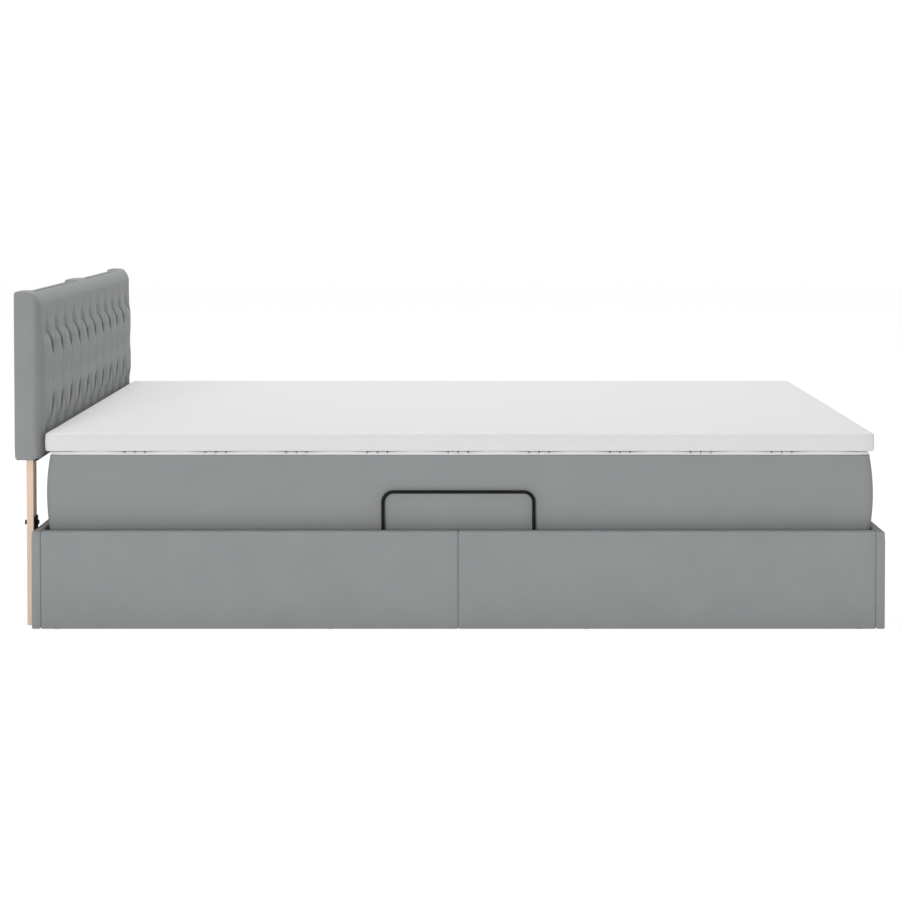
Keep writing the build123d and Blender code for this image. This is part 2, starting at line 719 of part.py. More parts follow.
# Gas springs at both ends, from a stud on the end panel to a stud on the frame's end rail
spring_base_inset_y = 37.5
spring_base_rise_z = 29.0
spring_top_inset_y = 217.0
spring_top_drop_z = 31.6
stud_radius = 4.0
cylinder_radius = 10.0
cylinder_wall = 1.5
cylinder_length = 138.0
cylinder_start = 16.0
neck_radius = 3.0
spring_rod_radius = 3.5
piston_radius = cylinder_radius - cylinder_wall - running_gap
piston_length = 12.0
piston_start = 10.0
spring_eye_radius = 9.5
spring_eye_thickness = 8.0
free_eye_hole_radius = 7.6
free_eye_radius = 11.0
gland_length = 10.0
cap_length = 6.0
stud_head_radius = 7.0
stud_head_height = 3.0
stud_plate_size = 40.0
stud_plate_thickness = 3.0

base_y = pivot_y - spring_base_inset_y
base_z = floor_top_z + spring_base_rise_z
top_y = pivot_y - spring_top_inset_y
top_z = pivot_z - spring_top_drop_z
spring_length = hypot(top_y - base_y, top_z - base_z)
spring_angle = atan2(top_z - base_z, top_y - base_y)


def along_spring(x, distance):
    """A point on a gas spring's centre line."""
    return (x, base_y + distance * cos(spring_angle), base_z + distance * sin(spring_angle))


for end, panel_x, rail_x in (
    ("head", head_inner_x, frame_low_x),
    ("foot", foot_inner_x, frame_high_x),
):
    spring_x = (panel_x + rail_x) / 2
    half_eye = spring_eye_thickness / 2
    body_end = cylinder_start + cylinder_length
    with BuildPart() as gas_cylinder:
        rod((spring_x - half_eye, base_y, base_z), (spring_x + half_eye, base_y, base_z), spring_eye_radius)
        neck_start = along_spring(spring_x, stud_radius + running_gap)
        rod(neck_start, along_spring(spring_x, cylinder_start), neck_radius)
        rod(along_spring(spring_x, cylinder_start), along_spring(spring_x, body_end), cylinder_radius)
        rod(
            (spring_x - spring_eye_thickness, base_y, base_z),
            (spring_x + spring_eye_thickness, base_y, base_z),
            stud_radius + running_gap,
            mode=Mode.SUBTRACT,
        )
        rod(
            along_spring(spring_x, cylinder_start + cap_length),
            along_spring(spring_x, body_end - gland_length),
            cylinder_radius - cylinder_wall,
            mode=Mode.SUBTRACT,
        )
        rod(
            along_spring(spring_x, body_end - gland_length),
            along_spring(spring_x, body_end + cut_overrun),
            spring_rod_radius + running_gap,
            mode=Mode.SUBTRACT,
        )
    write(gas_cylinder, f"gas_cylinder_{end}")
    rod_start = cylinder_start + cap_length + piston_start
    with BuildPart() as gas_rod:
        piston_face = along_spring(spring_x, rod_start)
        rod(piston_face, along_spring(spring_x, rod_start + piston_length), piston_radius)
        rod(piston_face, along_spring(spring_x, spring_length), spring_rod_radius)
        rod((spring_x - half_eye, top_y, top_z), (spring_x + half_eye, top_y, top_z), free_eye_radius)
        rod(
            (spring_x - spring_eye_thickness, top_y, top_z),
            (spring_x + spring_eye_thickness, top_y, top_z),
            free_eye_hole_radius,
            mode=Mode.SUBTRACT,
        )
    write(gas_rod, f"gas_rod_{end}")

# Studs that the springs turn on: plates on the end panels, plain studs on the end rails
with BuildPart() as spring_base_studs:
    for panel_x, inward in ((head_inner_x, 1), (foot_inner_x, -1)):
        span_x = sorted((panel_x, panel_x + inward * stud_plate_thickness))
        half = stud_plate_size / 2
        block((span_x[0], base_y - half, base_z - half / 2), (span_x[1], base_y + half / 2, base_z + half))
        tip_x = panel_x + inward * (end_gap / 2 + half_eye + seat_gap)
        rod((panel_x, base_y, base_z), (tip_x, base_y, base_z), stud_radius)
        cap_x = tip_x + inward * stud_head_height
        rod((tip_x, base_y, base_z), (cap_x, base_y, base_z), stud_head_radius)
write(spring_base_studs, "spring_base_studs")
with BuildPart() as spring_frame_studs:
    for rail_x, outward in ((frame_low_x, -1), (frame_high_x, 1)):
        tip_x = rail_x + outward * (end_gap / 2 + half_eye + seat_gap)
        rod((rail_x, top_y, top_z), (tip_x, top_y, top_z), stud_radius)
        cap_x = tip_x + outward * stud_head_height
        rod((tip_x, top_y, top_z), (cap_x, top_y, top_z), free_eye_radius)
write(spring_frame_studs, "spring_frame_studs")

# Mattress: a foam core in a knitted border, with a quilted top panel and a flat bottom panel
mattress_head_inset = 25.0
mattress_foot_inset = 18.0
mattress_side_inset = 37.0
mattress_height = 200.0
mattress_top_inset = 9.5
mattress_bottom_inset = 7.0
mattress_widest_share = 0.46
border_top_drop = 10.0
border_thickness = 6.0
bottom_panel_thickness = 4.0
mattress_corner_radius = 14.0
core_corner_radius = 5.0
mattress_head_x = head_outer_x + mattress_head_inset
mattress_foot_x = foot_outer_x - mattress_foot_inset
mattress_half_width = side_outer_y - mattress_side_inset
mattress_bottom_z = holder_top_z + seat_gap
mattress_top_z = mattress_bottom_z + mattress_height


def swollen_form(low_x, high_x, half_y, low_z, high_z, low_inset, high_inset, widest_share):
    """A block whose ends and sides swell between drawn-in top and bottom edges."""
    widest_z = low_z + widest_share * (high_z - low_z)
    spare = cut_overrun
    for plane, low_end, high_end, width in (
        (Plane.XZ.offset(-half_y - spare), low_x, high_x, 2 * (half_y + spare)),
        (Plane.YZ.offset(low_x - spare), -half_y, half_y, high_x - low_x + 2 * spare),
    ):
        with BuildSketch(plane) as outline:
            with BuildLine():
                Line((low_end + low_inset, low_z), (high_end - low_inset, low_z))
                ThreePointArc(
                    (high_end - low_inset, low_z),
                    (high_end, widest_z),
                    (high_end - high_inset, high_z),
                )
                Line((high_end - high_inset, high_z), (low_end + high_inset, high_z))
                ThreePointArc(
                    (low_end + high_inset, high_z),
                    (low_end, widest_z),
                    (low_end + low_inset, low_z),
                )
            make_face()
        mode = Mode.INTERSECT if plane.z_dir.X else Mode.ADD
        extrude(outline.sketch, amount=width, mode=mode)


def rounded_plan(low_x, high_x, half_y, radius, low_z, high_z, mode, spare=0):
    """A slab with rounded corners in plan, which may stand a little outside its size."""
    with BuildSketch(Plane.XY.offset(low_z)) as plan:
        with Locations(((low_x + high_x) / 2, 0)):
            RectangleRounded(high_x - low_x + 2 * spare, 2 * (half_y + spare), radius)
    extrude(plan.sketch, amount=high_z - low_z, mode=mode)


border_top_z = mattress_top_z - border_top_drop
core_inset = border_thickness + mattress_top_inset
core_plan = (
    mattress_head_x + core_inset,
    mattress_foot_x - core_inset,
    mattress_half_width - core_inset,
    core_corner_radius,
)


def mattress_slice(low_z, high_z):
    """The mattress's outer form between two heights."""
    swollen_form(
        mattress_head_x,
        mattress_foot_x,
        mattress_half_width,
        mattress_bottom_z,
        mattress_top_z,
        mattress_bottom_inset,
        mattress_top_inset,
        mattress_widest_share,
    )
    rounded_plan(
        mattress_head_x,
        mattress_foot_x,
        mattress_half_width,
        mattress_corner_radius,
        low_z,
        high_z,
        Mode.INTERSECT,
        cut_overrun,
    )


with BuildPart() as mattress_border:
    mattress_slice(mattress_bottom_z + bottom_panel_thickness, border_top_z)
    rounded_plan(*core_plan, mattress_bottom_z, mattress_top_z, Mode.SUBTRACT)
write(mattress_border, "mattress_border")
with BuildPart() as mattress_bottom_panel:
    mattress_slice(mattress_bottom_z, mattress_bottom_z + bottom_panel_thickness)
write(mattress_bottom_panel, "mattress_bottom_panel")
with BuildPart() as mattress_core:
    rounded_plan(*core_plan, mattress_bottom_z + bottom_panel_thickness, border_top_z, Mode.ADD)
write(mattress_core, "mattress_core")

# The white quilted top panel, with shallow sewn channels in groups of three
channel_group_count = 9
channel_group_pitch = 196.0
channel_pitch = 24.5
channel_half_width = 2.5
channel_depth = 2.0
group_start_x = middle_x - (channel_group_count - 1) / 2 * channel_group_pitch
with BuildPart() as mattress_top_panel:
    mattress_slice(border_top_z, mattress_top_z)
    for group in range(channel_group_count):
        for step in (-1, 0, 1):
            channel_x = group_start_x + group * channel_group_pitch + step * channel_pitch
            low = (channel_x - channel_half_width, -mattress_half_width, mattress_top_z - channel_depth)
            block(
                low,
                (channel_x + channel_half_width, mattress_half_width, mattress_top_z + cut_overrun),
                mode=Mode.SUBTRACT,
            )
write(mattress_top_panel, "mattress_top_panel")

# Topper: a foam sheet in a two-part cover that meets at a seam at mid height
topper_head_inset = 25.0
topper_foot_inset = 18.5
topper_side_inset = 35.0
topper_height = 44.0
topper_inset = 1.5
topper_corner_radius = 10.0
topper_cover_thickness = 3.0
topper_head_x = head_outer_x + topper_head_inset
topper_foot_x = foot_outer_x - topper_foot_inset
topper_half_width = side_outer_y - topper_side_inset
topper_bottom_z = mattress_top_z + seat_gap
topper_top_z = topper_bottom_z + topper_height
topper_seam_z = topper_bottom_z + topper_height / 2
foam_inset = topper_inset + topper_cover_thickness
foam_low = (
    topper_head_x + foam_inset,
    -(topper_half_width - foam_inset),
    topper_bottom_z + topper_cover_thickness,
)
foam_high = (
    topper_foot_x - foam_inset,
    topper_half_width - foam_inset,
    topper_top_z - topper_cover_thickness,
)
with BuildPart() as topper_foam:
    block(foam_low, foam_high)
write(topper_foam, "topper_foam")
for name, low_z, high_z in (
    ("topper_cover_top", topper_seam_z, topper_top_z),
    ("topper_cover_bottom", topper_bottom_z, topper_seam_z),
):
    with BuildPart() as topper_cover:
        swollen_form(
            topper_head_x,
            topper_foot_x,
            topper_half_width,
            topper_bottom_z,
            topper_top_z,
            topper_inset,
            topper_inset,
            0.5,
        )
        rounded_plan(
            topper_head_x,
            topper_foot_x,
            topper_half_width,
            topper_corner_radius,
            low_z,
            high_z,
            Mode.INTERSECT,
            cut_overrun,
        )
        block(foam_low, foam_high, mode=Mode.SUBTRACT)
    write(topper_cover, name)
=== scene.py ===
import bpy
from math import cos, exp, hypot, pi, radians, sin, sqrt, tan
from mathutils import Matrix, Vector, noise


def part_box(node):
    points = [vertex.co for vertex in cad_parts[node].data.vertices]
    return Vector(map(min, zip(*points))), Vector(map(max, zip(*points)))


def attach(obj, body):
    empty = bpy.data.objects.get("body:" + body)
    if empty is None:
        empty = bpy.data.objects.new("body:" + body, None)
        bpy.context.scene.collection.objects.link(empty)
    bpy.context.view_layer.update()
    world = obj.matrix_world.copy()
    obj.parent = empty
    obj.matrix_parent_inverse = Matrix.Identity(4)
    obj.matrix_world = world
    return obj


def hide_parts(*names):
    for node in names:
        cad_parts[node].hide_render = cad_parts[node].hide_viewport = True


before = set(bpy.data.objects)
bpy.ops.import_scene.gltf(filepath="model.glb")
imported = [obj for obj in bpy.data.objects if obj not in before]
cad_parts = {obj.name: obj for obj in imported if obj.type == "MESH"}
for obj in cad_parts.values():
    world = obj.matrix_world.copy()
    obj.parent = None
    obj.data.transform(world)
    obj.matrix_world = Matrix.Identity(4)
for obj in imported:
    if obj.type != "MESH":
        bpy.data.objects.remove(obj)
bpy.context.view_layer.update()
scene = bpy.context.scene
scene.view_settings.view_transform = "Standard"

# The room and the camera
# A white paper floor and a white wall of light stand round the bed. A 4 m softbox in front of it gives
# the key light, and a 3 m one above lights the white topper.


def linear(code):
    """The linear colour of a hex colour as it is seen on a screen."""
    parts = [int(code[i:i + 2], 16) / 255 for i in (0, 2, 4)]
    return tuple(c / 12.92 if c <= 0.04045 else ((c + 0.055) / 1.055) ** 2.4 for c in parts) + (1.0,)


def put(tree, kind, settings=None, inputs=None):
    """Adds one node: its settings, and each input set to a value, or joined to an output or to the first
    output of a node."""
    node = tree.nodes.new(kind)
    for name, value in (settings or {}).items():
        setattr(node, name, value)
    for name, value in (inputs or {}).items():
        value = value.outputs[0] if isinstance(value, bpy.types.Node) else value
        if isinstance(value, bpy.types.NodeSocket):
            tree.links.new(value, node.inputs[name])
        else:
            node.inputs[name].default_value = value
    return node


def reckon(tree, operation, *values, kind="Math", **more):
    """One math node and its values."""
    return put(tree, "ShaderNode" + kind, {"operation": operation}, {**dict(enumerate(values)), **more})


def bare_material(name):
    """A material and its empty node tree."""
    material = bpy.data.materials.new(name)
    material.use_nodes = True
    material.node_tree.nodes.clear()
    return material, material.node_tree


def by_sight(tree, bounced, seen):
    """One shader for light that bounces on, another for what is seen, also in a gloss or through glass."""
    sight = put(tree, "ShaderNodeLightPath").outputs
    direct = reckon(tree, "MAXIMUM", sight["Is Camera Ray"], sight["Is Glossy Ray"])
    direct = reckon(tree, "MAXIMUM", direct, sight["Is Transmission Ray"])
    return put(tree, "ShaderNodeMixShader", inputs={0: direct, 1: bounced, 2: seen})


WHITE = (1, 1, 1, 1)
paper, tree = bare_material("White photo paper")
plain = put(tree, "ShaderNodeBsdfDiffuse", inputs={"Color": linear("F8F8F8")})
lit = put(tree, "ShaderNodeBsdfDiffuse", inputs={"Color": linear("6E6E6E")})
glow = put(tree, "ShaderNodeEmission", inputs={"Color": WHITE, "Strength": 0.93})
seen = put(tree, "ShaderNodeAddShader", inputs={0: lit, 1: glow})
put(tree, "ShaderNodeOutputMaterial", inputs={"Surface": by_sight(tree, plain, seen)})
floor_mesh = bpy.data.meshes.new("paper_floor")
reach = 14.0
floor_mesh.from_pydata([(-reach, -reach, 0), (reach, -reach, 0), (reach, reach, 0), (-reach, reach, 0)],
                       [], [(0, 1, 2, 3)])
floor_mesh.materials.append(paper)
floor = bpy.data.objects.new("paper_floor", floor_mesh)
scene.collection.objects.link(floor)

world = bpy.data.worlds.new("White studio")
scene.world = world
world.use_nodes = True
tree = world.node_tree
tree.nodes.clear()
around = put(tree, "ShaderNodeBackground", inputs={"Color": WHITE, "Strength": 0.375})
white = put(tree, "ShaderNodeBackground", inputs={"Color": WHITE, "Strength": 1.0})
put(tree, "ShaderNodeOutputWorld", inputs={"Surface": by_sight(tree, around, white)})

for name, place, towards, size, watts in (
    ("softbox_front", (-3.8, -13.2, 2.3), (4.0, 0.0, 0.35), 4.0, 660.0),
    ("softbox_above", (-0.5, 1.3, 6.6), (0.3, 0.0, 0.35), 3.0, 240.0),
):
    lamp = bpy.data.lights.new(name, "AREA")
    lamp.shape = "SQUARE"
    lamp.size = size
    lamp.energy = watts
    holder = bpy.data.objects.new(name, lamp)
    holder.location = place
    aim = Vector(towards) - Vector(place)
    holder.rotation_euler = aim.to_track_quat("-Z", "Y").to_euler()
    scene.collection.objects.link(holder)

lens = bpy.data.cameras.new("camera")
lens.lens = 73.495
lens.shift_x = -0.0170
lens.shift_y = -0.2429
camera = bpy.data.objects.new("camera", lens)
camera.location = (0.03914, -4.96954, 1.06085)
camera.rotation_euler = (radians(88.5), 0, 0)
scene.collection.objects.link(camera)
scene.camera = camera

# The box: six upholstered panels
# Each panel is an 18 mm chipboard with thin wadding and a grey polyester weave drawn tight round its
# faces, ends and top, and stapled inside. The long sides come in two halves that meet in the middle.
WAVE_WIDTH = 0.3142  # the width of one band of a wave texture whose scale is 1


def mottle(tree, place, scale, detail, roughness=0.5, dimensions="3D"):
    """The share that a noise texture gives."""
    return put(tree, "ShaderNodeTexNoise", {"noise_dimensions": dimensions},
               {"Vector": place, "Scale": scale, "Detail": detail, "Roughness": roughness}).outputs["Fac"]


def scaled(tree, place, scale):
    """Coordinates scaled along each axis."""
    return put(tree, "ShaderNodeMapping", {}, {"Vector": place, "Scale": scale})


def ranged(tree, share, low, high, of=(0.0, 1.0)):
    """A share of the range in of, brought between low and high."""
    return put(tree, "ShaderNodeMapRange", {}, {
        "Value": share, "From Min": of[0], "From Max": of[1], "To Min": low, "To Max": high})


def surface(material, colour, roughness, relief=None, more=None):
    """Ends a material. Its relief is a height, a depth in metres and a strength."""
    tree = material.node_tree
    inputs = {"Base Color": colour, "Roughness": roughness, **(more or {})}
    if relief:
        height, depth, strength = relief
        inputs["Normal"] = put(tree, "ShaderNodeBump", {}, {
            "Height": height, "Distance": depth, "Strength": strength})
    shader = put(tree, "ShaderNodeBsdfPrincipled", {}, inputs)
    put(tree, "ShaderNodeOutputMaterial", inputs={"Surface": shader})
    return material


def woven(name, colour, thread_mm, slub_mm, relief_mm, fleck, sheen):
    """A woven or knitted cloth: two sets of threads, longer slubs across, and a mottled dye."""
    material, tree = bare_material(name)
    cloth = put(tree, "ShaderNodeUVMap", {"uv_map": "cloth"}).outputs["UV"]
    warp, weft = [
        put(tree, "ShaderNodeTexWave", {"bands_direction": way}, {
            "Vector": cloth, "Scale": WAVE_WIDTH / (thread_mm / 1000), "Distortion": 0.6,
            "Detail": 1.0, "Detail Scale": 1.0}).outputs["Fac"]
        for way in "XY"]
    threads = reckon(tree, "MAXIMUM", warp, weft)
    # a slub is twelve times as long as it is thick
    drawn = scaled(tree, cloth, (1 / (12 * slub_mm / 1000), 1000 / slub_mm, 1))
    slub = mottle(tree, drawn, 1.0, 3.0, 0.6, "2D")
    patch = mottle(tree, cloth, 9.0, 3.0, 0.55, "2D")
    tone = ranged(tree, reckon(tree, "ADD", slub, patch), 1.0 - fleck, 1.0 + fleck, of=(0.7, 1.3))
    shade = ranged(tree, threads, 1.0 - fleck, 1.0 + 0.4 * fleck, of=(0.2, 1.0))
    dyed = reckon(tree, "SCALE", linear(colour)[:3], kind="VectorMath",
                  Scale=reckon(tree, "MULTIPLY", tone, shade))
    height = reckon(tree, "MULTIPLY_ADD", slub, 0.8, threads)
    return surface(material, dyed, 0.92, (height, relief_mm / 1000, 1.0),
                   {"Sheen Weight": sheen, "Sheen Roughness": 0.45})


def mesh_lines(low, high, edge, step, extra=()):
    """Places of the mesh lines along one side, closer together at its rounded ends."""
    turn = [edge * (1 - tan(radians(angle))) for angle in (45, 32, 18, 0)]
    count = max(1, round((high - low - 2 * edge) / step))
    middle = [low + edge + (high - low - 2 * edge) * i / count for i in range(count + 1)]
    places = sorted([low + t for t in turn] + [high - t for t in turn] + middle + list(extra))
    closest = 2e-5
    return [p for i, p in enumerate(places) if i == 0 or p - places[i - 1] > closest]


def cloth_piece(name, points, faces, flat, material, thickness=0.0):
    """A smooth mesh with its cloth map; with a thickness it becomes a shell, grown inwards."""
    mesh = bpy.data.meshes.new(name)
    mesh.from_pydata(points, [], faces)
    layer = mesh.uv_layers.new(name="cloth")
    layer.data.foreach_set("uv", [c for pair in flat for c in pair])
    mesh.materials.append(material)
    mesh.shade_smooth()
    piece = bpy.data.objects.new(name, mesh)
    scene.collection.objects.link(piece)
    if thickness:
        used = {}
        for polygon in mesh.polygons:
            for key in polygon.edge_keys:
                used[key] = used.get(key, 0) + 1
        for edge in mesh.edges:
            edge.use_edge_sharp = used[edge.key] == 1
        wall = piece.modifiers.new("wall", "SOLIDIFY")
        wall.thickness = thickness
        wall.offset = -1
        wall.use_even_offset = False
    return piece


def upholstered(name, low, high, edge, step, material, shape, open_sides=(), thickness=0.0, extra_x=()):
    """A cloth-covered box with round edges and straight walls at its open sides. shape moves each point."""
    lines = [mesh_lines(low[i], high[i], edge, step, extra_x if i == 0 else ()) for i in range(3)]
    core_low = [low[i] + (0 if (i, False) in open_sides else edge) for i in range(3)]
    core_high = [high[i] - (0 if (i, True) in open_sides else edge) for i in range(3)]
    index, points, faces, flat = {}, [], [], []

    def vertex(key):
        if key not in index:
            at = Vector([lines[i][key[i]] for i in range(3)])
            core = Vector([min(max(at[i], core_low[i]), core_high[i]) for i in range(3)])
            out = (at - core).normalized()
            index[key] = len(points)
            points.append(shape(core + out * edge, out))
        return index[key]

    for axis in range(3):
        a, b = [i for i in range(3) if i != axis]
        for end in (0, len(lines[axis]) - 1):
            if (axis, end > 0) in open_sides:
                continue
            for i in range(len(lines[a]) - 1):
                for j in range(len(lines[b]) - 1):
                    quad = []
                    for da, db in ((0, 0), (1, 0), (1, 1), (0, 1)):
                        key = [end, end, end]
                        key[a], key[b] = i + da, j + db
                        quad.append(vertex(tuple(key)))
                    if (end == 0) != (axis == 1):
                        quad.reverse()
                    faces.append(quad)
                    flat.extend((points[v][a], points[v][b]) for v in quad)
    return cloth_piece(name, points, faces, flat, material, thickness)


def unit(value):
    """A value kept between 0 and 1."""
    return min(max(value, 0.0), 1.0)


def eased(value):
    """A soft step from 0 to 1."""
    value = unit(value)
    return value * value * (3 - 2 * value)


def arc(share):
    """The height of a quarter circle at a share of its width: 1 at no share and 0 at the whole."""
    return sqrt(1 - share * share)


# Polyester linen-look weave, piece-dyed: matt, with thin slubs along the warp
grey_weave = woven("Grey linen-look polyester", "969899", 2.4, 2.6, 0.10, 0.035, 0.12)
# the padding's swell, and how far from a rim it is full; the turn of the hem, how far it hangs below the
# board and from what height; the round of the end panels' outer top edge; the swell that closes the seam
PUFF, PUFF_REACH = 0.0006, 0.03
HEM, HEM_DROP, HEM_REACH = 0.0017, 0.0020, 0.020
END_ROUND = 0.0088
SEAM_SWELL, SEAM_REACH = 0.00076, 0.1
for panel, inside in (
    ("head_panel", (1, 0, 0)), ("foot_panel", (-1, 0, 0)),
    ("near_side_head", (0, 1, 0)), ("near_side_foot", (0, 1, 0)),
    ("far_side_head", (0, -1, 0)), ("far_side_foot", (0, -1, 0)),
):
    low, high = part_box(panel + "_cover")
    inside = Vector(inside)

    def wadding(at, out, low=low, high=high, inside=inside):
        """The padded face swells between its edges, its hem turns under the board, and the halves meet."""
        # what lies against the board stays flat
        if out.dot(inside) > 0.1:
            return at
        rim = min(min(at[i] - low[i], high[i] - at[i]) for i in range(3) if abs(inside[i]) < 0.5)
        swell = PUFF * eased(rim / PUFF_REACH) * (1 + noise.noise(at * 6.0))
        hem = unit(1 - (at.z - low.z) / HEM)
        moved = at + out * (swell - HEM * (1 - arc(hem)))
        moved.z -= HEM_DROP * unit(1 - (at.z - low.z) / HEM_REACH)
        if abs(at.x) < SEAM_REACH:
            moved.x += SEAM_SWELL * out.x * unit(2 * abs(out.x) - 1)
        if inside.x:
            outer = low.x if inside.x > 0 else high.x
            across, down = END_ROUND - abs(moved.x - outer), END_ROUND - (high.z - moved.z)
            if across > 0 and down > 0 and hypot(across, down) > END_ROUND:
                turn = END_ROUND / hypot(across, down)
                moved.x = outer + inside.x * (END_ROUND - across * turn)
                moved.z = high.z - (END_ROUND - down * turn)
        return moved

    cover = upholstered(panel + "_fabric", low, high, 0.0035, 0.022, grey_weave, wadding,
                        open_sides=((2, False),), thickness=0.0012)
    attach(cover, "base")
    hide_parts(panel + "_cover")

# The boards inside the box: chipboard panels, the crossboard and the two floor boards
# The chipboard is raw at its cut edges, where the wood chips show. The floor is thin hardboard with a
# pale printed face.


def solid_material(name):
    """A material, its empty node tree, and the object's own coordinates."""
    material, tree = bare_material(name)
    return material, tree, put(tree, "ShaderNodeTexCoord").outputs["Object"]


def two_tone(tree, share, first, second):
    """The mix of two colours by a share."""
    return put(tree, "ShaderNodeMix", {"data_type": "RGBA"},
               {0: share, 6: linear(first), 7: linear(second)}).outputs[2]


def cells(tree, place, scale, randomness=1.0):
    """The results of a texture of cells."""
    return put(tree, "ShaderNodeTexVoronoi", {}, {
        "Vector": place, "Scale": scale, "Randomness": randomness}).outputs


chipboard, tree, place = solid_material("Raw chipboard")
# chips about 4 mm long, lying flat in the board
chips = cells(tree, place, 240.0)["Color"]
grains = put(tree, "ShaderNodeSeparateColor", {}, {"Color": chips})
spread = reckon(tree, "MULTIPLY_ADD", mottle(tree, place, 900.0, 2.0), 0.35, grains.outputs[0])
surface(chipboard, two_tone(tree, spread, "8C6C45", "CBAA78"), 0.78, (spread, 0.0003, 0.8))

hardboard, tree, place = solid_material("White faced hardboard")
streak = mottle(tree, scaled(tree, place, (3.0, 160.0, 160.0)), 1.0, 4.0)
surface(hardboard, two_tone(tree, streak, "C9C6BF", "E2E0DA"), 0.42, (streak, 0.00006, 0.6))


def clad(material, *names):
    """Gives CAD nodes a material in all their slots."""
    for name in names:
        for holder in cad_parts[name].material_slots:
            holder.material = material


clad(chipboard, "head_panel_board", "foot_panel_board", "near_side_head_board", "near_side_foot_board",
     "far_side_head_board", "far_side_foot_board", "divider_board")
clad(hardboard, "floor_boards")

# Timber of the box and the headboard's posts
# Sawn and planed spruce: pale, with growth rings as long streaks. Lengthwise
# pieces and upright ones have their own grain direction.


def timber(name, light, dark, along, ring_mm, roughness):
    """Planed wood whose grain runs along one axis; ring_mm is the width of a growth ring."""
    material, tree, place = solid_material(name)
    ring_scale, fibre_scale = [1.0] * 3, [420.0] * 3
    ring_scale[along], fibre_scale[along] = 0.06, 9.0
    stretched = scaled(tree, place, ring_scale)
    bend = mottle(tree, stretched, 14.0, 2.0)
    rings = put(tree, "ShaderNodeTexWave",
                {"wave_type": "RINGS", "rings_direction": "XYZ"[along], "wave_profile": "SAW"},
                {"Vector": stretched, "Scale": WAVE_WIDTH / (ring_mm / 1000), "Distortion": 5.0,
                 "Detail": 2.0, "Detail Scale": 0.6})
    fibre = mottle(tree, scaled(tree, place, fibre_scale), 1.0, 3.0)
    share = reckon(tree, "MULTIPLY_ADD", rings.outputs["Fac"], 0.55, fibre)
    share = reckon(tree, "MULTIPLY_ADD", bend, 0.5, share)
    share = ranged(tree, share, 0.0, 1.0, of=(0.6, 1.35))
    return surface(material, two_tone(tree, share, light, dark), roughness, (fibre, 0.00012, 0.7))


spruce = timber("Planed spruce rails", "DCC39B", "B98F5C", 0, 4.0, 0.62)
upright_spruce = timber("Planed spruce posts", "DCC39B", "B98F5C", 2, 4.0, 0.62)
clad(spruce, "floor_battens", "rest_ledges")
clad(upright_spruce, "corner_blocks", "headboard_post_near", "headboard_post_centre", "headboard_post_far")
clad(chipboard, "headboard_ply")

# Screws of the corner blocks
# Screws of zinc plated steel with a low cone head and a cross recess. They are driven by machine, so
# the recesses stand at different angles.
zinc, tree, place = solid_material("Bright zinc plated steel")
cloud = mottle(tree, place, 120.0, 3.0)
surface(zinc, two_tone(tree, cloud, "B9BCC4", "D6D6D0"), ranged(tree, cloud, 0.24, 0.42), None,
        {"Metallic": 1.0})


def node_shape(name, sockets):
    """An empty geometry tree with named inputs, and the sockets that give their values."""
    tree = bpy.data.node_groups.new(name, "GeometryNodeTree")
    tree.interface.new_socket("Geometry", in_out="INPUT", socket_type="NodeSocketGeometry")
    for socket, kind in sockets:
        tree.interface.new_socket(socket, in_out="INPUT", socket_type="NodeSocket" + kind)
    tree.interface.new_socket("Geometry", in_out="OUTPUT", socket_type="NodeSocketGeometry")
    return tree, put(tree, "NodeGroupInput").outputs


def node_piece(name, base, tree, values):
    """The plain mesh that a geometry tree grows from a base mesh, as a new object."""
    holder = bpy.data.objects.new(name, base)
    scene.collection.objects.link(holder)
    modifier = holder.modifiers.new("shape", "NODES")
    modifier.node_group = tree
    for item in tree.interface.items_tree:
        if item.in_out == "INPUT" and item.name in values:
            modifier[item.identifier] = values[item.name]
    bpy.context.view_layer.update()
    grown = holder.evaluated_get(bpy.context.evaluated_depsgraph_get())
    mesh = bpy.data.meshes.new_from_object(grown)
    holder.modifiers.remove(modifier)
    holder.data = mesh
    return holder


def vector_of(tree, **parts):
    """A vector put together from its parts."""
    return put(tree, "ShaderNodeCombineXYZ", inputs=parts)


def repeat_on(tree, points, piece, material, **more):
    """Ends a geometry tree: the piece on every point, made real and given its material."""
    placed = put(tree, "GeometryNodeInstanceOnPoints",
                 inputs={"Points": points, "Instance": piece, **more})
    real = put(tree, "GeometryNodeRealizeInstances", inputs={"Geometry": placed})
    ended = put(tree, "GeometryNodeSetMaterial", inputs={"Geometry": real, "Material": material})
    put(tree, "NodeGroupOutput", inputs={"Geometry": ended})


tree, given = node_shape("Cross-head screws", (
    ("Head Radius", "Float"), ("Head Height", "Float"), ("Material", "Material")))
rim = reckon(tree, "MULTIPLY", given["Head Radius"], 0.78)
head = put(tree, "GeometryNodeMeshCone", {"fill_type": "NGON"}, {
    "Vertices": 24, "Radius Top": rim, "Radius Bottom": given["Head Radius"],
    "Depth": given["Head Height"]})
long_side = reckon(tree, "MULTIPLY", given["Head Radius"], 1.05)
short_side = reckon(tree, "MULTIPLY", given["Head Radius"], 0.24)
up = vector_of(tree, Z=given["Head Height"])
recess = put(tree, "GeometryNodeJoinGeometry")
for across, down in ((long_side, short_side), (short_side, long_side)):
    size = vector_of(tree, X=across, Y=down, Z=given["Head Height"])
    bar = put(tree, "GeometryNodeMeshCube", inputs={"Size": size})
    raised = put(tree, "GeometryNodeTransform", inputs={"Geometry": bar, "Translation": up})
    tree.links.new(raised.outputs[0], recess.inputs[0])
cut = put(tree, "GeometryNodeMeshBoolean", {"operation": "DIFFERENCE", "solver": "EXACT"},
          {"Mesh 1": head, "Mesh 2": recess, "Self Intersection": True})
facing = put(tree, "GeometryNodeInputNamedAttribute", {"data_type": "FLOAT_VECTOR"}, {"Name": "facing"})
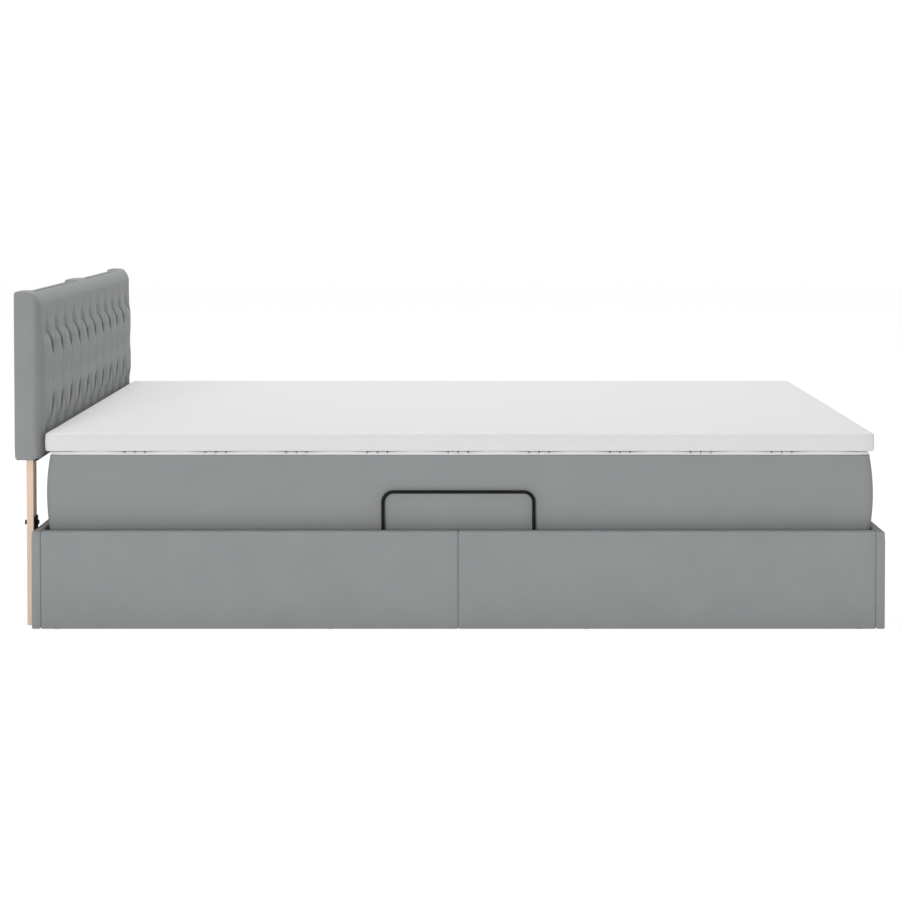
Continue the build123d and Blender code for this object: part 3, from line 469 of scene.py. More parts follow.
turned = put(tree, "FunctionNodeAlignRotationToVector", {"axis": "Z"}, {"Vector": facing})
spin = put(tree, "FunctionNodeRandomValue", {"data_type": "FLOAT_VECTOR"},
           {0: (0, 0, 0), 1: (0, 0, 1.57), "Seed": 7})
turned = put(tree, "FunctionNodeRotateRotation", {"rotation_space": "LOCAL"},
             {"Rotation": turned, "Rotate By": spin})
repeat_on(tree, given["Geometry"], cut, given["Material"], Rotation=turned)


def facing_points(name, places):
    """Points with the way that each one faces."""
    mesh = bpy.data.meshes.new(name)
    mesh.from_pydata([place for place, way in places], [], [])
    ways = mesh.attributes.new("facing", "FLOAT_VECTOR", "POINT")
    ways.data.foreach_set("vector", [c for place, way in places for c in way])
    return mesh


# the blocks are 30 mm deep, and the near ones stop under the rest ledge
BLOCK_DEPTH, NEAR_BLOCK_TOP, SCREW_Y = 0.030, 0.1527, 0.588
HEAD_RADIUS, HEAD_HEIGHT = 0.0055, 0.0025
block_low, block_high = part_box("corner_blocks")
screw_places = []
for face_x, way in ((block_low.x + BLOCK_DEPTH, 1), (block_high.x - BLOCK_DEPTH, -1)):
    for side in (-1, 1):
        top = NEAR_BLOCK_TOP if side < 0 else block_high.z
        for share in (0.25, 0.75):
            height = block_low.z + share * (top - block_low.z)
            screw_places.append(((face_x + way * HEAD_HEIGHT / 2, side * SCREW_Y, height), (way, 0, 0)))
corner_screws = node_piece("corner_block_screws_cut", facing_points("corner_screws", screw_places), tree,
                           {"Head Radius": HEAD_RADIUS, "Head Height": HEAD_HEIGHT, "Material": zinc})
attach(corner_screws, "base")
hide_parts("corner_block_screws")

# Steel of the box and the headboard fixing: joiner plates, leg brackets, bolts, studs and hinges
# Pressed and punched steel, powder coated black after welding, so every edge is slightly rounded and
# the face has the fine orange peel of the coating.
black_coat, tree, place = solid_material("Black powder-coated steel")
# the coating's ripples are about 1.5 mm apart
peel = mottle(tree, place, 650.0, 1.0)
rubbed = mottle(tree, place, 22.0, 4.0, 0.65)
surface(black_coat, two_tone(tree, rubbed, "07090A", "121416"), ranged(tree, rubbed, 0.34, 0.55),
        (peel, 0.00008, 0.6), {"Specular IOR Level": 0.12})
clad(black_coat, "joiner_plates", "leg_brackets", "leg_bolts", "hinge_brackets", "hinge_lugs")
clad(zinc, "leg_bracket_screws", "hinge_pins", "spring_base_studs", "spring_frame_studs")

# Pads and glides
# The closed frame rests on rubber pads on the near ledge, and the box stands on white nylon glides
# that are nailed under its panels. The slat holders are black polypropylene.
for name, (scale, detail), (dark, light), roughness, (depth, strength), nodes in (
    ("Black nitrile rubber", (180.0, 5.0), ("0F1011", "26272A"), 0.84, (0.0001, 0.5), ("rest_pads",)),
    # the mould's spark-eroded grain, about 0.8 mm
    ("Black moulded polypropylene", (1200.0, 2.0), ("121315", "202225"), 0.52, (0.00005, 0.7),
     ("slat_holders_near", "slat_holders_far")),
    ("White moulded nylon", (320.0, 3.0), ("E3E2DD", "EFEEEA"), 0.45, (0.00004, 0.5), ("floor_glides",)),
):
    moulded, tree, place = solid_material(name)
    grain = mottle(tree, place, scale, detail)
    surface(moulded, two_tone(tree, grain, dark, light), roughness, (grain, depth, strength))
    clad(moulded, *nodes)

# The headboard's back and sides
# The same grey weave goes round the two end posts and the centre post, and dips to the plywood
# between them. It is stapled to the ply, where the front cushion meets it.
back_low, back_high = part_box("headboard_back_cover")
HALF = back_high.y
POST_X, RECESS_X, JOIN_X = back_low.x, -1.0085, back_high.x
BOARD_FOOT, BOARD_TOP = back_low.z, back_high.z
# the top's roll towards the front: where it starts, its depth and height, and the height it reaches down to
ROLL_X, ROLL_DEPTH, ROLL_HEIGHT, ROLL_BEGIN = -1.0135, 0.036, 0.036, 0.762
# the dips lie between these distances from the middle, and their ends slope over the third
DIP_NEAR, DIP_FAR, DIP_SLOPE = 0.039, 0.547, 0.013
SIDE_ROUND, TOP_ROUND, FOOT_ROUND = 0.006, 0.008, 0.0105


def round_edge(distance, radius):
    """How far a rounded edge of that radius has fallen, at a distance from its end."""
    return radius * (1 - arc(unit(1 - distance / radius)))


def back_depth(y, z):
    """The place of the fabric on the back, with its dips between the posts."""
    dip = eased((DIP_FAR - abs(y)) / DIP_SLOPE) * eased((abs(y) - DIP_NEAR) / DIP_SLOPE)
    slack = 0.0012 * dip * sin(pi * (z - BOARD_FOOT) / (BOARD_TOP - BOARD_FOOT))
    x = POST_X + (RECESS_X - POST_X) * dip + slack * noise.noise(Vector((0, y * 5, z * 5)))
    x += round_edge(HALF - abs(y), SIDE_ROUND)
    return x + round_edge(BOARD_TOP - z, TOP_ROUND) + round_edge(z - BOARD_FOOT, FOOT_ROUND)


def roll_fall(x):
    """How far the top has rolled down towards the front at x."""
    return ROLL_HEIGHT * (1 - arc(unit((x - ROLL_X) / ROLL_DEPTH)))


def rolled(x, y, z):
    """A point of the back and sides, with the top rolled down."""
    return x, y, z - roll_fall(x) * eased((z - ROLL_BEGIN) / (BOARD_TOP - ROLL_BEGIN))


def spread_lines(places, step):
    """Mesh lines that pass through the given places, with more between them where they are far apart."""
    lines = [places[0]]
    for start, end in zip(places, places[1:]):
        count = max(1, round((end - start) / step))
        lines += [start + (end - start) * i / count for i in range(1, count + 1)]
    return lines


def both_sides(half_lines):
    """Mesh lines of one side of the middle, and the same ones of the other side."""
    return [-v for v in reversed(half_lines)] + half_lines


def net(wide, tall, turned=False):
    """The faces of a net of points, given row by row."""
    for v in (j * wide + i for j in range(tall - 1) for i in range(wide - 1)):
        yield (v, v + 1, v + wide + 1, v + wide) if turned else (v, v + wide, v + wide + 1, v + 1)


# mesh lines stand close together at the dips' ends and where the fabric turns round an edge
dips = [0.039, 0.0415, 0.044, 0.047, 0.0495, 0.052, 0.534, 0.5365, 0.539, 0.5415, 0.544, 0.547]
side_round = [0.594, 0.5955, 0.5975, 0.599, 0.600]
y_lines = spread_lines(both_sides(dips + side_round), 0.025)
z_lines = spread_lines([0.401, 0.4022, 0.4045, 0.4075, 0.795, 0.798, 0.8005, 0.8022, 0.803], 0.02)
outline = [(back_depth(y, z), y, z) for z in z_lines for y in y_lines]
points = [rolled(*point) for point in outline]
wide, tall = len(y_lines), len(z_lines)
faces = list(net(wide, tall))
rim = list(range(wide)) + [j * wide + wide - 1 for j in range(1, tall)]
rim += [(tall - 1) * wide + i for i in range(wide - 2, -1, -1)] + [j * wide for j in range(tall - 2, 0, -1)]
previous = rim
for x in (-1.0080, -1.0052, -1.0025, -0.9998, -0.9971, JOIN_X):
    ring = list(range(len(points), len(points) + len(rim)))
    points += [rolled(x, *outline[v][1:]) for v in rim]
    for i in range(len(rim)):
        k = (i + 1) % len(rim)
        faces.append((previous[i], previous[k], ring[k], ring[i]))
    previous = ring
flat = []
for face in faces:
    corners = [Vector(points[v]) for v in face]
    way = (corners[1] - corners[0]).cross(corners[3] - corners[0])
    if abs(way.x) >= max(abs(way.y), abs(way.z)):
        a, b = 1, 2
    else:
        a, b = (0, 2) if abs(way.y) > abs(way.z) else (1, 0)
    flat.extend((corner[a], corner[b]) for corner in corners)
headboard_back = cloth_piece("headboard_back_fabric", points, faces, flat, grey_weave, 0.0012)
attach(headboard_back, "base")
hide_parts("headboard_back_cover")

# The headboard's tufted front
# Soft wadding over the ply, sewn through by three rows of buttons. Between the rows the weave folds
# into pleats that start at a button, swing out and run on upright, so that long pillows stand between.
BORDER_X, SIDE_TURN, FOOT_TURN = -0.9775, 0.026, 0.012
COLUMNS, PITCH, FIRST_Y = 11, 0.1034, -0.517
ROW_TOP, ROW_MIDDLE, ROW_FOOT = 0.707, 0.588, 0.469
# each row of buttons: its height, its shift in columns, its number of buttons and how deep they pull
BUTTON_ROWS = (
    (ROW_TOP, 0, COLUMNS, 0.0055), (ROW_MIDDLE, 0.5, COLUMNS - 1, 0.0006), (ROW_FOOT, 0, COLUMNS, 0.0055))
BUTTON_REACH, ROW_REACH = 0.0165, 0.016
# above and below the middle row: how far from a row the pleats have swung out, and how far they stay deep
SWING_TOP, SWING_FOOT = 0.052, 0.085
DEEP_TOP, DEEP_FOOT, DEEP_END = 0.034, 0.050, 0.038
LEAST_SHARE, MOST_SHARE = 0.07, 0.93
PLEAT_DEPTH, LIP_DEPTH, LIP_GAIN, LIP_WIDTH, TONGUE = 0.0135, 0.0015, 0.0020, 0.006, 0.0022
# the pillows' crest, and how far it sinks at the outer rows and at the middle one
CREST, ROW_SINK, MIDDLE_SINK, SINK_REACH = 0.0085, 0.0065, 0.0025, 0.024
# beyond the outer rows: the crest and the pleats' depth, and how far they reach
EDGE_CREST, EDGE_CREST_REACH, EDGE_DEPTH, EDGE_REACH = 0.0020, 0.034, 0.0034, 0.045
# the pillows rise over these distances from the cloth's sides and top, and from its foot
RISE, FOOT_RISE = 0.045, 0.02
# the pillows' shoulder past the outermost buttons, counted in columns
SHOULDER_END, SHOULDER_WIDTH = 0.86, 0.62


def bell(distance, width):
    """A soft bump: 1 at no distance, and near 0 beyond twice its width."""
    return exp(-(distance / width) ** 2)


def pleats_at(z):
    """At one height: the crest, the pleats' share of the pitch, their depth and their lips' depth."""
    away = min(abs(z - ROW_TOP), abs(z - ROW_FOOT))
    if not ROW_FOOT < z < ROW_TOP:
        pull = EDGE_DEPTH * max(0.0, 1 - away / EDGE_REACH) ** 1.2
        return EDGE_CREST * (1 - eased(away / EDGE_CREST_REACH)), LEAST_SHARE, pull, 0.4 * pull
    swing, deep = (SWING_TOP, DEEP_TOP) if z > ROW_MIDDLE else (SWING_FOOT, DEEP_FOOT)
    reach = min(away / swing, 1.0)
    share = min(max(1 - (1 - reach) ** 2.2, LEAST_SHARE), MOST_SHARE)
    crest = CREST - ROW_SINK * bell(away, SINK_REACH) - MIDDLE_SINK * bell(z - ROW_MIDDLE, SINK_REACH)
    # a pleat is half as deep at its button, and almost gone before the middle row
    hold = 0.02 + 0.98 * (1 - eased((away - deep) / DEEP_END))
    pull = PLEAT_DEPTH * (0.50 + 0.50 * min(away / ROW_REACH, 1.0)) * hold
    lip = min(LIP_DEPTH + LIP_GAIN * (1 - min(reach * 2, 1.0)), pull / 2)
    return crest, share, pull, lip


def button_pull(y, z):
    """How deep the buttons draw the front in at a point."""
    depth = 0.0
    for row_z, offset, count, pull in BUTTON_ROWS:
        near = min(max(round((y - FIRST_Y) / PITCH - offset), 0), count - 1)
        depth += pull * bell(hypot(y - FIRST_Y - (near + offset) * PITCH, z - row_z), BUTTON_REACH)
    return depth


def front_depth(y, z, between=None):
    """The place of the front fabric: the rolled border and, inside it, the pillows and their pleats."""
    side = 1 - unit((HALF - abs(y)) / SIDE_TURN)
    top = unit((z - (BOARD_TOP - ROLL_HEIGHT)) / ROLL_HEIGHT)
    foot = 1 - unit((z - BOARD_FOOT) / FOOT_TURN)
    roll = (ROLL_DEPTH * arc(top) - (JOIN_X - ROLL_X)) / (BORDER_X - JOIN_X)
    border = arc(side) * max(roll, 0.0) * (0.7 + 0.3 * arc(foot))
    x = JOIN_X + (BORDER_X - JOIN_X) * border
    # past counts columns from the nearer end; half is the distance from a pleat's middle, in half pitches
    column = (y - FIRST_Y) / PITCH
    past = min(column, COLUMNS - 1 - column)
    half = min(2 * abs(column - min(max(round(column), 0), COLUMNS - 1)), 1.0)
    crest, share, pull, lip = pleats_at(z)
    if between is None:
        between = half > share
    if between:
        tongue = 1 - (half - share) / (1 - share)
        fall = lip * exp(-(half - share) * PITCH / 2 / LIP_WIDTH)
        fall += TONGUE * tongue ** 3 * bell(min(abs(z - ROW_TOP), abs(z - ROW_FOOT)), ROW_REACH)
    else:
        fall = pull * (1 - (1 - min(half / share, 1.0) ** 2.4) ** 0.62)
    wave = noise.noise(Vector((0.0, y * 9, z * 9))) * 0.0006
    shoulder = 1 - unit((past + SHOULDER_END) / SHOULDER_WIDTH)
    height = (crest + wave) * arc(shoulder) - fall * eased(2 * past + 1)
    inner = eased((HALF - abs(y)) / RISE) * eased((BOARD_TOP - z) / RISE)
    return x + (height - button_pull(y, z)) * inner * eased((z - BOARD_FOOT) / FOOT_RISE)


# mesh lines follow the pleats: inside one, at its foot under the lip, at the lip, and between two pleats
INSIDE = (0.0, 0.30, 0.55, 0.74, 0.86, 0.94, 1.0)
BETWEEN = (0.0, 0.05, 0.12, 0.20, 0.30, 0.42, 0.56, 0.76)
side_turn = [HALF - SIDE_TURN * (1 - cos(radians(a))) for a in (0, 12, 24, 37, 50, 63, 76, 90)]


def front_section(z):
    """The points of the front fabric at one height, from the near side to the far side."""
    _, share, pull, lip = pleats_at(z)
    width, pocket = share * PITCH / 2, 0.0045 * unit((pull - lip) / 0.0110)
    edge = -FIRST_Y + PITCH / 2
    section = [(front_depth(-y, z), -y, z) for y in side_turn] + [(front_depth(-edge, z), -edge, z)]
    for i in range(COLUMNS):
        middle = FIRST_Y + i * PITCH
        for way, inside, between in ((-1, INSIDE[::-1], BETWEEN[::-1]), (1, INSIDE[1:], BETWEEN)):
            outer, pleat = [], []
            held = eased(2 * min(i + way / 2, COLUMNS - 1 - i - way / 2) + 1)
            for share_out in between:
                y = middle + way * (width + share_out * (PITCH / 2 - width))
                outer.append((front_depth(y, z, True), y, z))
            for share_in in inside:
                y = middle + way * share_in * width
                tucked = held * pocket * exp(-(1 - share_in) * width / 0.005)
                pleat.append((front_depth(y, z, False), y + way * tucked, z))
            section += outer + pleat if way < 0 else pleat + outer
        y = middle + PITCH / 2
        section.append((front_depth(y, z), y, z))
    return section + [(front_depth(y, z), y, z) for y in reversed(side_turn)]


top_turn = [BOARD_TOP - ROLL_HEIGHT * (1 - sin(radians(a))) for a in (0, 12, 24, 36, 46, 54)]
top_end = BOARD_TOP - roll_fall(JOIN_X)
z_lines = spread_lines([0.401, 0.4025, 0.405, 0.409, 0.413] + top_turn + [top_end], 0.0026)
points = [point for z in z_lines for point in front_section(z)]
wide, tall = len(points) // len(z_lines), len(z_lines)
faces = list(net(wide, tall, turned=True))
foot_row = list(range(len(points), len(points) + wide))
points += [(JOIN_X, y, BOARD_FOOT) for x, y, z in points[:wide]]
faces += [(foot_row[i], foot_row[i + 1], i + 1, i) for i in range(wide - 1)]
inner_loop = [j * wide for j in range(tall)] + [(tall - 1) * wide + i for i in range(1, wide)]
inner_loop += [j * wide + wide - 1 for j in range(tall - 2, -1, -1)] + list(reversed(foot_row))
faces.append(inner_loop)
flat = [points[v][1:] for face in faces for v in face]
headboard_front = cloth_piece("headboard_front_fabric", points, faces, flat, grey_weave)
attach(headboard_front, "base")
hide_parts("headboard_cushion")

# The covered buttons of the headboard
# Domed metal blanks with the grey weave pressed over them, tied through the ply. Each sits in its
# own hollow. A pressed blank has no flat cut, so its weave reads the object's own coordinates.
button_cloth, tree, place = solid_material("Grey weave on buttons")
across, down = [
    put(tree, "ShaderNodeTexWave", {"bands_direction": way},
        {"Vector": place, "Scale": 131.0, "Distortion": 0.5}).outputs["Fac"]
    for way in "YZ"]
threads = reckon(tree, "MAXIMUM", across, down)
surface(button_cloth, two_tone(tree, threads, "8D8F90", "979A9B"), 0.92, (threads, 0.0001, 1.0),
        {"Sheen Weight": 0.12})
tree, given = node_shape("Covered buttons", (
    ("Radius", "Float"), ("Height", "Float"), ("Material", "Material")))
squeeze = vector_of(tree, X=reckon(tree, "DIVIDE", given["Height"], given["Radius"]), Y=1.0, Z=1.0)
dome = put(tree, "GeometryNodeMeshUVSphere",
           inputs={"Segments": 28, "Rings": 14, "Radius": given["Radius"]})
dome = put(tree, "GeometryNodeTransform", inputs={"Geometry": dome, "Scale": squeeze})
smooth = put(tree, "GeometryNodeSetShadeSmooth", inputs={"Geometry": dome})
repeat_on(tree, given["Geometry"], smooth, given["Material"])
SUNK = 0.0008  # how far a button's middle lies behind the cloth
tufts = []
for row_z, offset, count, _ in BUTTON_ROWS:
    for y in (FIRST_Y + (i + offset) * PITCH for i in range(count)):
        tufts.append((front_depth(y, row_z) - SUNK, y, row_z))
tuft_points = bpy.data.meshes.new("tufts")
tuft_points.from_pydata(tufts, [], [])
buttons = node_piece("headboard_covered_buttons", tuft_points, tree,
                     {"Radius": 0.0096, "Height": 0.0026, "Material": button_cloth})
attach(buttons, "base")
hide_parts("headboard_buttons")

# The black cloth under the headboard
# A strip of spunbond that closes the underside, cut out round the two legs and stapled at its edges.
spunbond, tree, place = solid_material("Black spunbond polypropylene")
# bonding points about 1.5 mm apart
bond = cells(tree, place, 650.0, 0.2)["Distance"]
surface(spunbond, two_tone(tree, bond, "0D0E0F", "1E1F21"), 0.88, (bond, 0.0001, 0.8))
strip_low, strip_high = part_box("headboard_underside")
# the two leg holes, along the bed and outwards from its middle
hole_x, hole_y = (-1.0123, -0.9957), (0.5497, 0.5853)
STAPLED, SLACK, SLACK_REACH = 0.0006, 0.0007, 0.02
x_lines = spread_lines([strip_low.x, *hole_x, strip_high.x], 0.008)
y_lines = spread_lines(both_sides([*hole_y, strip_high.y]), 0.03)
points, faces, flat = [], [], []
for y in y_lines:
    for x in x_lines:
        rim = min(x - strip_low.x, strip_high.x - x)
        slack = SLACK * eased(rim / SLACK_REACH) * (0.5 + noise.noise(Vector((x * 12, y * 12, 0))))
        points.append((x, y, strip_high.z - STAPLED - slack))
for face in net(len(x_lines), len(y_lines)):
    (x_0, y_0, _), (x_1, y_1, _) = points[face[0]], points[face[2]]
    if hole_x[0] < (x_0 + x_1) / 2 < hole_x[1] and hole_y[0] < abs(y_0 + y_1) / 2 < hole_y[1]:
        continue
    faces.append(face)
    flat.extend(points[v][:2] for v in face)
strip = cloth_piece("headboard_underside_cloth", points, faces, flat, spunbond, 0.0004)
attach(strip, "base")
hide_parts("headboard_underside")
BINDING_WIDTH, BINDING_DROP, BINDING_PLAY = 0.0035, 0.0005, 0.0002
binding_low = Vector((strip_high.x - BINDING_WIDTH, strip_low.y, strip_low.z - BINDING_DROP))
binding_high = Vector((strip_high.x, strip_high.y, strip_high.z - BINDING_PLAY))
binding = upholstered("headboard_underside_binding", binding_low, binding_high, 0.0009, 0.03, spunbond,
                      lambda at, out: at)
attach(binding, "base")

# The headboard's legs
# Two straight strips of planed beech, clear lacquered, that stand on the floor behind the box and go
# up into the end posts.
beech = timber("Lacquered beech legs", "EFD8C6", "E0BFA6", 2, 3.0, 0.42)
clad(beech, "headboard_leg_near", "headboard_leg_far")

# The lifting frame
# Square steel tubes welded into a frame with one lengthwise and two cross members, and a handle of bent
# round bar on the near rail. All of it is powder coated black.
clad(black_coat, "frame_rail_near", "frame_rail_far", "frame_end_rail_head", "frame_end_rail_foot",
     "frame_centre_rail", "frame_cross_rails", "handle")

# Gas springs
# At each end of the bed a black enamelled cylinder with a hard chromed rod. The cylinder's eye turns on
# a stud of the end panel, and the rod's eye on a stud of the frame.
chrome, tree, place = solid_material("Hard chromed rod")
polish = mottle(tree, place, 700.0, 2.0)
surface(chrome, two_tone(tree, polish, "C6C9CD", "DCDEE0"), ranged(tree, polish, 0.08, 0.2), None,
        {"Metallic": 1.0})
enamel, tree, place = solid_material("Black enamelled cylinder")
film = mottle(tree, place, 60.0, 3.0)
surface(enamel, two_tone(tree, film, "090A0B", "141618"), ranged(tree, film, 0.18, 0.34), None,
        {"Coat Weight": 0.5, "Coat Roughness": 0.15})
clad(enamel, "gas_cylinder_head", "gas_cylinder_foot")
clad(chrome, "gas_rod_head", "gas_rod_foot")

# The sprung slats
# Fourteen birch veneer slats, glued in a slightly arched press, sanded round at their long edges and
# sealed. Their ends stand in plastic holders on both long rails.
slat_wood, tree, place = solid_material("Sealed birch veneer slats")
figure = put(tree, "ShaderNodeTexNoise", {}, {
    "Vector": scaled(tree, place, (160.0, 4.0, 160.0)), "Scale": 1.0, "Detail": 4.0, "Distortion": 0.4})
figure = figure.outputs["Fac"]
# five veneers, 1.6 mm each, show on the edges
plies = put(tree, "ShaderNodeTexWave", {"bands_direction": "Z"},
            {"Vector": place, "Scale": 98.0, "Distortion": 0.3})
face = put(tree, "ShaderNodeNewGeometry")
split = put(tree, "ShaderNodeSeparateXYZ", inputs={"Vector": face.outputs["Normal"]})
on_edge = reckon(tree, "MULTIPLY", reckon(tree, "ABSOLUTE", split.outputs["X"]), plies.outputs["Fac"])
tone = put(tree, "ShaderNodeMix", {"data_type": "RGBA"},
           {0: on_edge, 6: two_tone(tree, figure, "DDC196", "C49E6A"), 7: linear("A07A4C")})
surface(slat_wood, tone.outputs[2], 0.38, (figure, 0.0001, 0.6))
tree, given = node_shape("Arched slats", (
    ("Count", "Int"), ("Pitch", "Float"), ("Width", "Float"), ("Thickness", "Float"), ("Rise", "Float"),
    ("Start", "Vector"), ("End", "Vector"), ("Material", "Material")))
places = put(tree, "GeometryNodeMeshLine", {"mode": "OFFSET"},
             {"Count": given["Count"], "Offset": vector_of(tree, X=given["Pitch"])})
middle = reckon(tree, "ADD", given["Start"], given["End"], kind="VectorMath")
middle = reckon(tree, "SCALE", middle, kind="VectorMath", Scale=0.5)
# a curve of this kind rises to half the height of its middle point
rise = vector_of(tree, Z=reckon(tree, "MULTIPLY", given["Rise"], 2.0))
middle = reckon(tree, "ADD", middle, rise, kind="VectorMath")
arch = put(tree, "GeometryNodeCurveQuadraticBezier", inputs={
    "Resolution": 24, "Start": given["Start"], "Middle": middle, "End": given["End"]})
section = put(tree, "GeometryNodeCurvePrimitiveQuadrilateral", {"mode": "RECTANGLE"},
              {"Width": given["Width"], "Height": given["Thickness"]})
section = put(tree, "GeometryNodeFilletCurve", {"mode": "POLY"}, {
    "Curve": section, "Count": 4, "Radius": reckon(tree, "MULTIPLY", given["Thickness"], 0.35)})
slat = put(tree, "GeometryNodeCurveToMesh", inputs={
    "Curve": arch, "Profile Curve": section, "Fill Caps": True})
slat = put(tree, "GeometryNodeSetShadeSmooth", inputs={"Geometry": slat})
repeat_on(tree, places, slat, given["Material"])
slat_low, slat_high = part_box("slats")
SLATS, SLAT_WIDTH, SLAT_THICKNESS, SLAT_RISE = 14, 0.068, 0.0078, 0.0022
first_x = slat_low.x + SLAT_WIDTH / 2
slat_z = slat_low.z + 0.0040  # the middle of a slat's end
slat_pitch = (slat_high.x - slat_low.x - SLAT_WIDTH) / (SLATS - 1)
slats = node_piece("sprung_slats", bpy.data.meshes.new("slats_base"), tree, {
    "Count": SLATS, "Pitch": slat_pitch, "Width": SLAT_WIDTH, "Thickness": SLAT_THICKNESS,
    "Rise": SLAT_RISE, "Start": (first_x, slat_low.y, slat_z), "End": (first_x, slat_high.y, slat_z),
    "Material": slat_wood})
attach(slats, "lifting_frame")
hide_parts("slats")

# The foam of the mattress and of the topper
# Blocks of pale polyurethane foam, cut by a hot wire. Nothing of them shows while the covers are on.
foam, tree, place = solid_material("Polyurethane foam")
# open cells of about 1.5 mm
pore = cells(tree, place, 650.0)["Distance"]
surface(foam, two_tone(tree, pore, "EFE8CF", "D9CFAE"), 0.95, (pore, 0.0003, 0.8))


def plan_corner(at, low, high, radius):
    """Moves a point of a box so that the box's upright corners are round."""
    core = [min(max(at[i], low[i] + radius), high[i] - radius) for i in (0, 1)]
    dx, dy = at.x - core[0], at.y - core[1]
    if dx and dy:
        scale = max(abs(dx), abs(dy)) / hypot(dx, dy)
        return Vector((core[0] + dx * scale, core[1] + dy * scale, at.z))
    return at


WITHIN, WOBBLE = 0.0008, 0.0006
for core_name, corner_radius, fill in (("mattress_core", 0.005, 1.0), ("topper_foam", 0.003, 1.0)):
    low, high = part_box(core_name)

    def cut_block(at, out, low=low, high=high, corner_radius=corner_radius):
        """A cut face waves slightly, and stays just inside the block's box."""
        sunk = WITHIN + WOBBLE * noise.noise(at * 14)
        return plan_corner(at, low, high, corner_radius) - out * sunk

    block = upholstered(core_name + "_block", low, high, 0.003, 0.05, foam, cut_block)
    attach(block, "lifting_frame")
    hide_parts(core_name)

# The mattress's border and bottom panel
# A grey stretch knit backed with thin wadding. It swells at mid height, where nothing holds it, and is
# drawn in at the two seams.
border_knit = woven("Grey border knit", "969899", 2.4, 3.2, 0.08, 0.022, 0.10)
mattress_low, mattress_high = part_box("mattress_border")
panel_low, panel_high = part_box("mattress_bottom_panel")
WIDEST_Z, MATTRESS_TOP = 0.311, 0.419
FOOT_INSET, TOP_INSET, MATTRESS_CORNER = 0.007, 0.0095, 0.014
KNIT_WAVE, KNIT_INSET = 0.0009, 0.0004


def at_heights(low, high, low_z, high_z):
    """The corners of a box that keeps its plan and gets other heights."""
    return Vector((low.x, low.y, low_z)), Vector((high.x, high.y, high_z))


def drawn_in(at, low, high, inset):
    """A point of a box, moved towards its upright middle line by the inset at the sides and less within."""
    middle, half = (low + high) / 2, (high - low) / 2
    x, y = [middle[i] + (at[i] - middle[i]) * (half[i] - inset) / half[i] for i in (0, 1)]
    return Vector((x, y, at.z))


def swollen(at, out):
    """A point of the mattress's outside, drawn in above and below its widest height."""
    if at.z < WIDEST_Z:
        inset = FOOT_INSET * ((WIDEST_Z - at.z) / (WIDEST_Z - panel_low.z)) ** 2
    else:
        inset = TOP_INSET * ((at.z - WIDEST_Z) / (MATTRESS_TOP - WIDEST_Z)) ** 2
    at = plan_corner(at, mattress_low, mattress_high, MATTRESS_CORNER)
    wave = KNIT_WAVE * noise.noise(Vector((at.x * 3.1, at.y * 3.1, at.z * 9))) * (1 - abs(out.z))
    shrunk = drawn_in(at, mattress_low, mattress_high, inset)
    return shrunk + Vector((out.x, out.y, 0)) * (wave - KNIT_INSET)


border = upholstered("mattress_border_knit", mattress_low, mattress_high, 0.002, 0.016, border_knit,
                     swollen, open_sides=((2, False), (2, True)), thickness=0.004)
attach(border, "lifting_frame")
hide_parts("mattress_border")
box_low, box_high = at_heights(mattress_low, mattress_high, panel_low.z, panel_high.z)
bottom = upholstered("mattress_bottom_cloth", box_low, box_high, 0.0016, 0.03, border_knit, swollen)
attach(bottom, "lifting_frame")
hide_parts("mattress_bottom_panel")

# The mattress's quilted top panel
# A white stretch knit over wadding, sewn down in groups of three channels across the bed. It swells
# between the groups, which shows as shallow arcs along its edge.
quilt = woven("White quilted stretch knit", "E9E9E9", 2.4, 3.0, 0.08, 0.008, 0.10)
top_low, top_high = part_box("mattress_top_panel")
GROUPS, GROUP_PITCH, CHANNEL_PITCH = 9, 0.196, 0.0245
BED_MIDDLE_X = 0.0225
CHANNEL_WIDTH, CHANNEL_DEPTH, SIDE_DEPTH = 0.0017, 0.0034, 0.0014
# between the groups the panel swells; its lower share of height, sewn to the border, stays as it is
SWELL, SWELL_START, SWELL_RISE, STILL = 0.0022, 0.030, 0.05, 0.35
channels = [
    BED_MIDDLE_X + (group - (GROUPS - 1) / 2) * GROUP_PITCH + step * CHANNEL_PITCH
    for group in range(GROUPS) for step in (-1, 0, 1)]


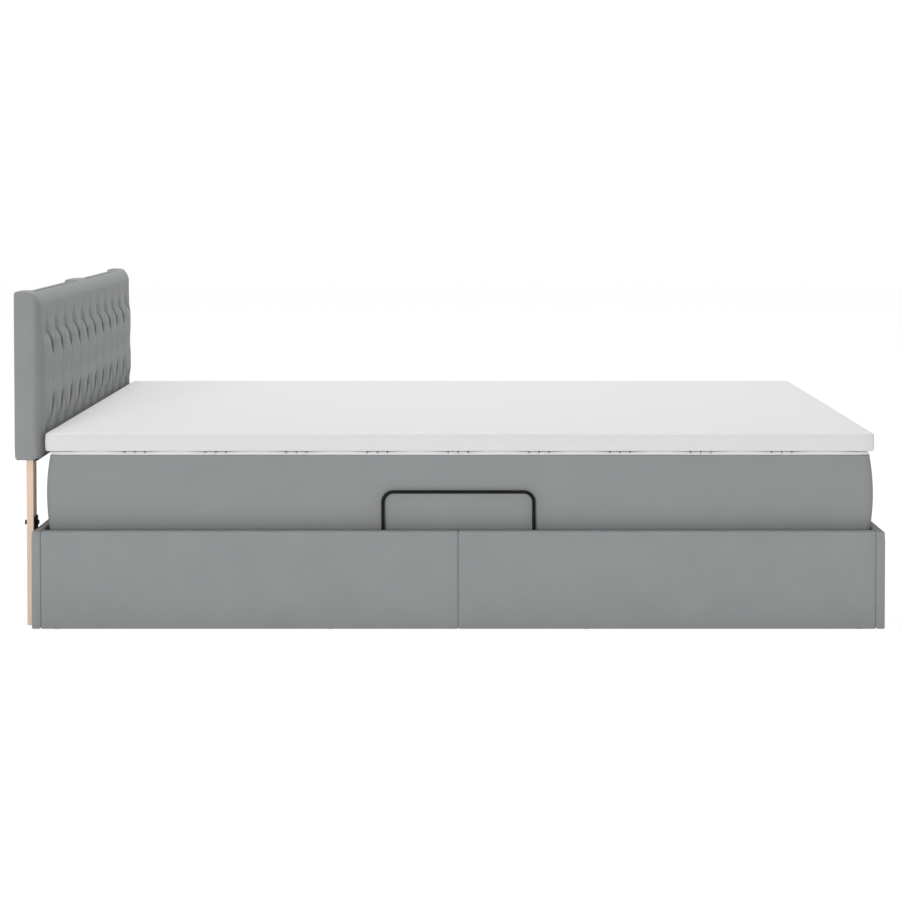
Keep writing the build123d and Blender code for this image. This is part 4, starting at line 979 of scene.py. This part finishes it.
def quilted(at, out):
    """A point of the top panel, with its sewn channels and the swell between their groups."""
    away = (at.x - BED_MIDDLE_X) / GROUP_PITCH
    away = abs(away - round(away)) * GROUP_PITCH
    swell = eased((away - SWELL_START) / SWELL_RISE)
    notch = bell(min(abs(at.x - c) for c in channels), CHANNEL_WIDTH)
    height = (at.z - top_low.z) / (top_high.z - top_low.z)
    moved = swollen(at, out)
    moved.z -= (SWELL * (1 - swell) + CHANNEL_DEPTH * notch) * max(0.0, height - STILL) / (1 - STILL)
    pinch = (1 - abs(out.z)) * SIDE_DEPTH * notch
    return moved - Vector((out.x, out.y, 0)) * pinch


extra = [c + d for c in channels for d in (-0.005, -0.0028, -0.0014, 0.0, 0.0014, 0.0028, 0.005)]
box_low, box_high = at_heights(mattress_low, mattress_high, top_low.z, top_high.z)
top_panel = upholstered("mattress_quilted_top", box_low, box_high, 0.004, 0.024, quilt, quilted,
                        extra_x=extra)
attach(top_panel, "lifting_frame")
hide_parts("mattress_top_panel")

# The topper
# A 38 mm foam sheet in a white two-part cover that zips at mid height. Its upper edge is soft and the
# cloth lies smooth on top.
topper_low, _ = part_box("topper_cover_bottom")
_, topper_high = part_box("topper_cover_top")
topper_knit = woven("White topper knit", "E8E8E8", 2.4, 3.4, 0.06, 0.006, 0.10)
seam_z, half_height = (topper_low.z + topper_high.z) / 2, (topper_high.z - topper_low.z) / 2
TOPPER_INSET, TOPPER_CORNER, TOPPER_SAG = 0.0013, 0.008, 0.0010


def topper_side(at, out):
    """A point of the topper's cover: a soft swell at its sides and a quiet top."""
    inset = TOPPER_INSET * ((at.z - seam_z) / half_height) ** 2
    at = plan_corner(at, topper_low, topper_high, TOPPER_CORNER)
    moved = drawn_in(at, topper_low, topper_high, inset)
    if out.z > 0.5:
        moved.z -= TOPPER_SAG * (0.5 + 0.5 * noise.noise(Vector((at.x * 2.3, at.y * 2.3, 4.0))))
    return moved


for half_name, low_z, high_z, open_side in (
    ("topper_cover_top", seam_z, topper_high.z, (2, False)),
    ("topper_cover_bottom", topper_low.z, seam_z, (2, True)),
):
    box_low, box_high = at_heights(topper_low, topper_high, low_z, high_z)
    half = upholstered(half_name + "_knit", box_low, box_high, 0.0045, 0.024, topper_knit, topper_side,
                       open_sides=(open_side,), thickness=0.002)
    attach(half, "lifting_frame")
    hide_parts(half_name)
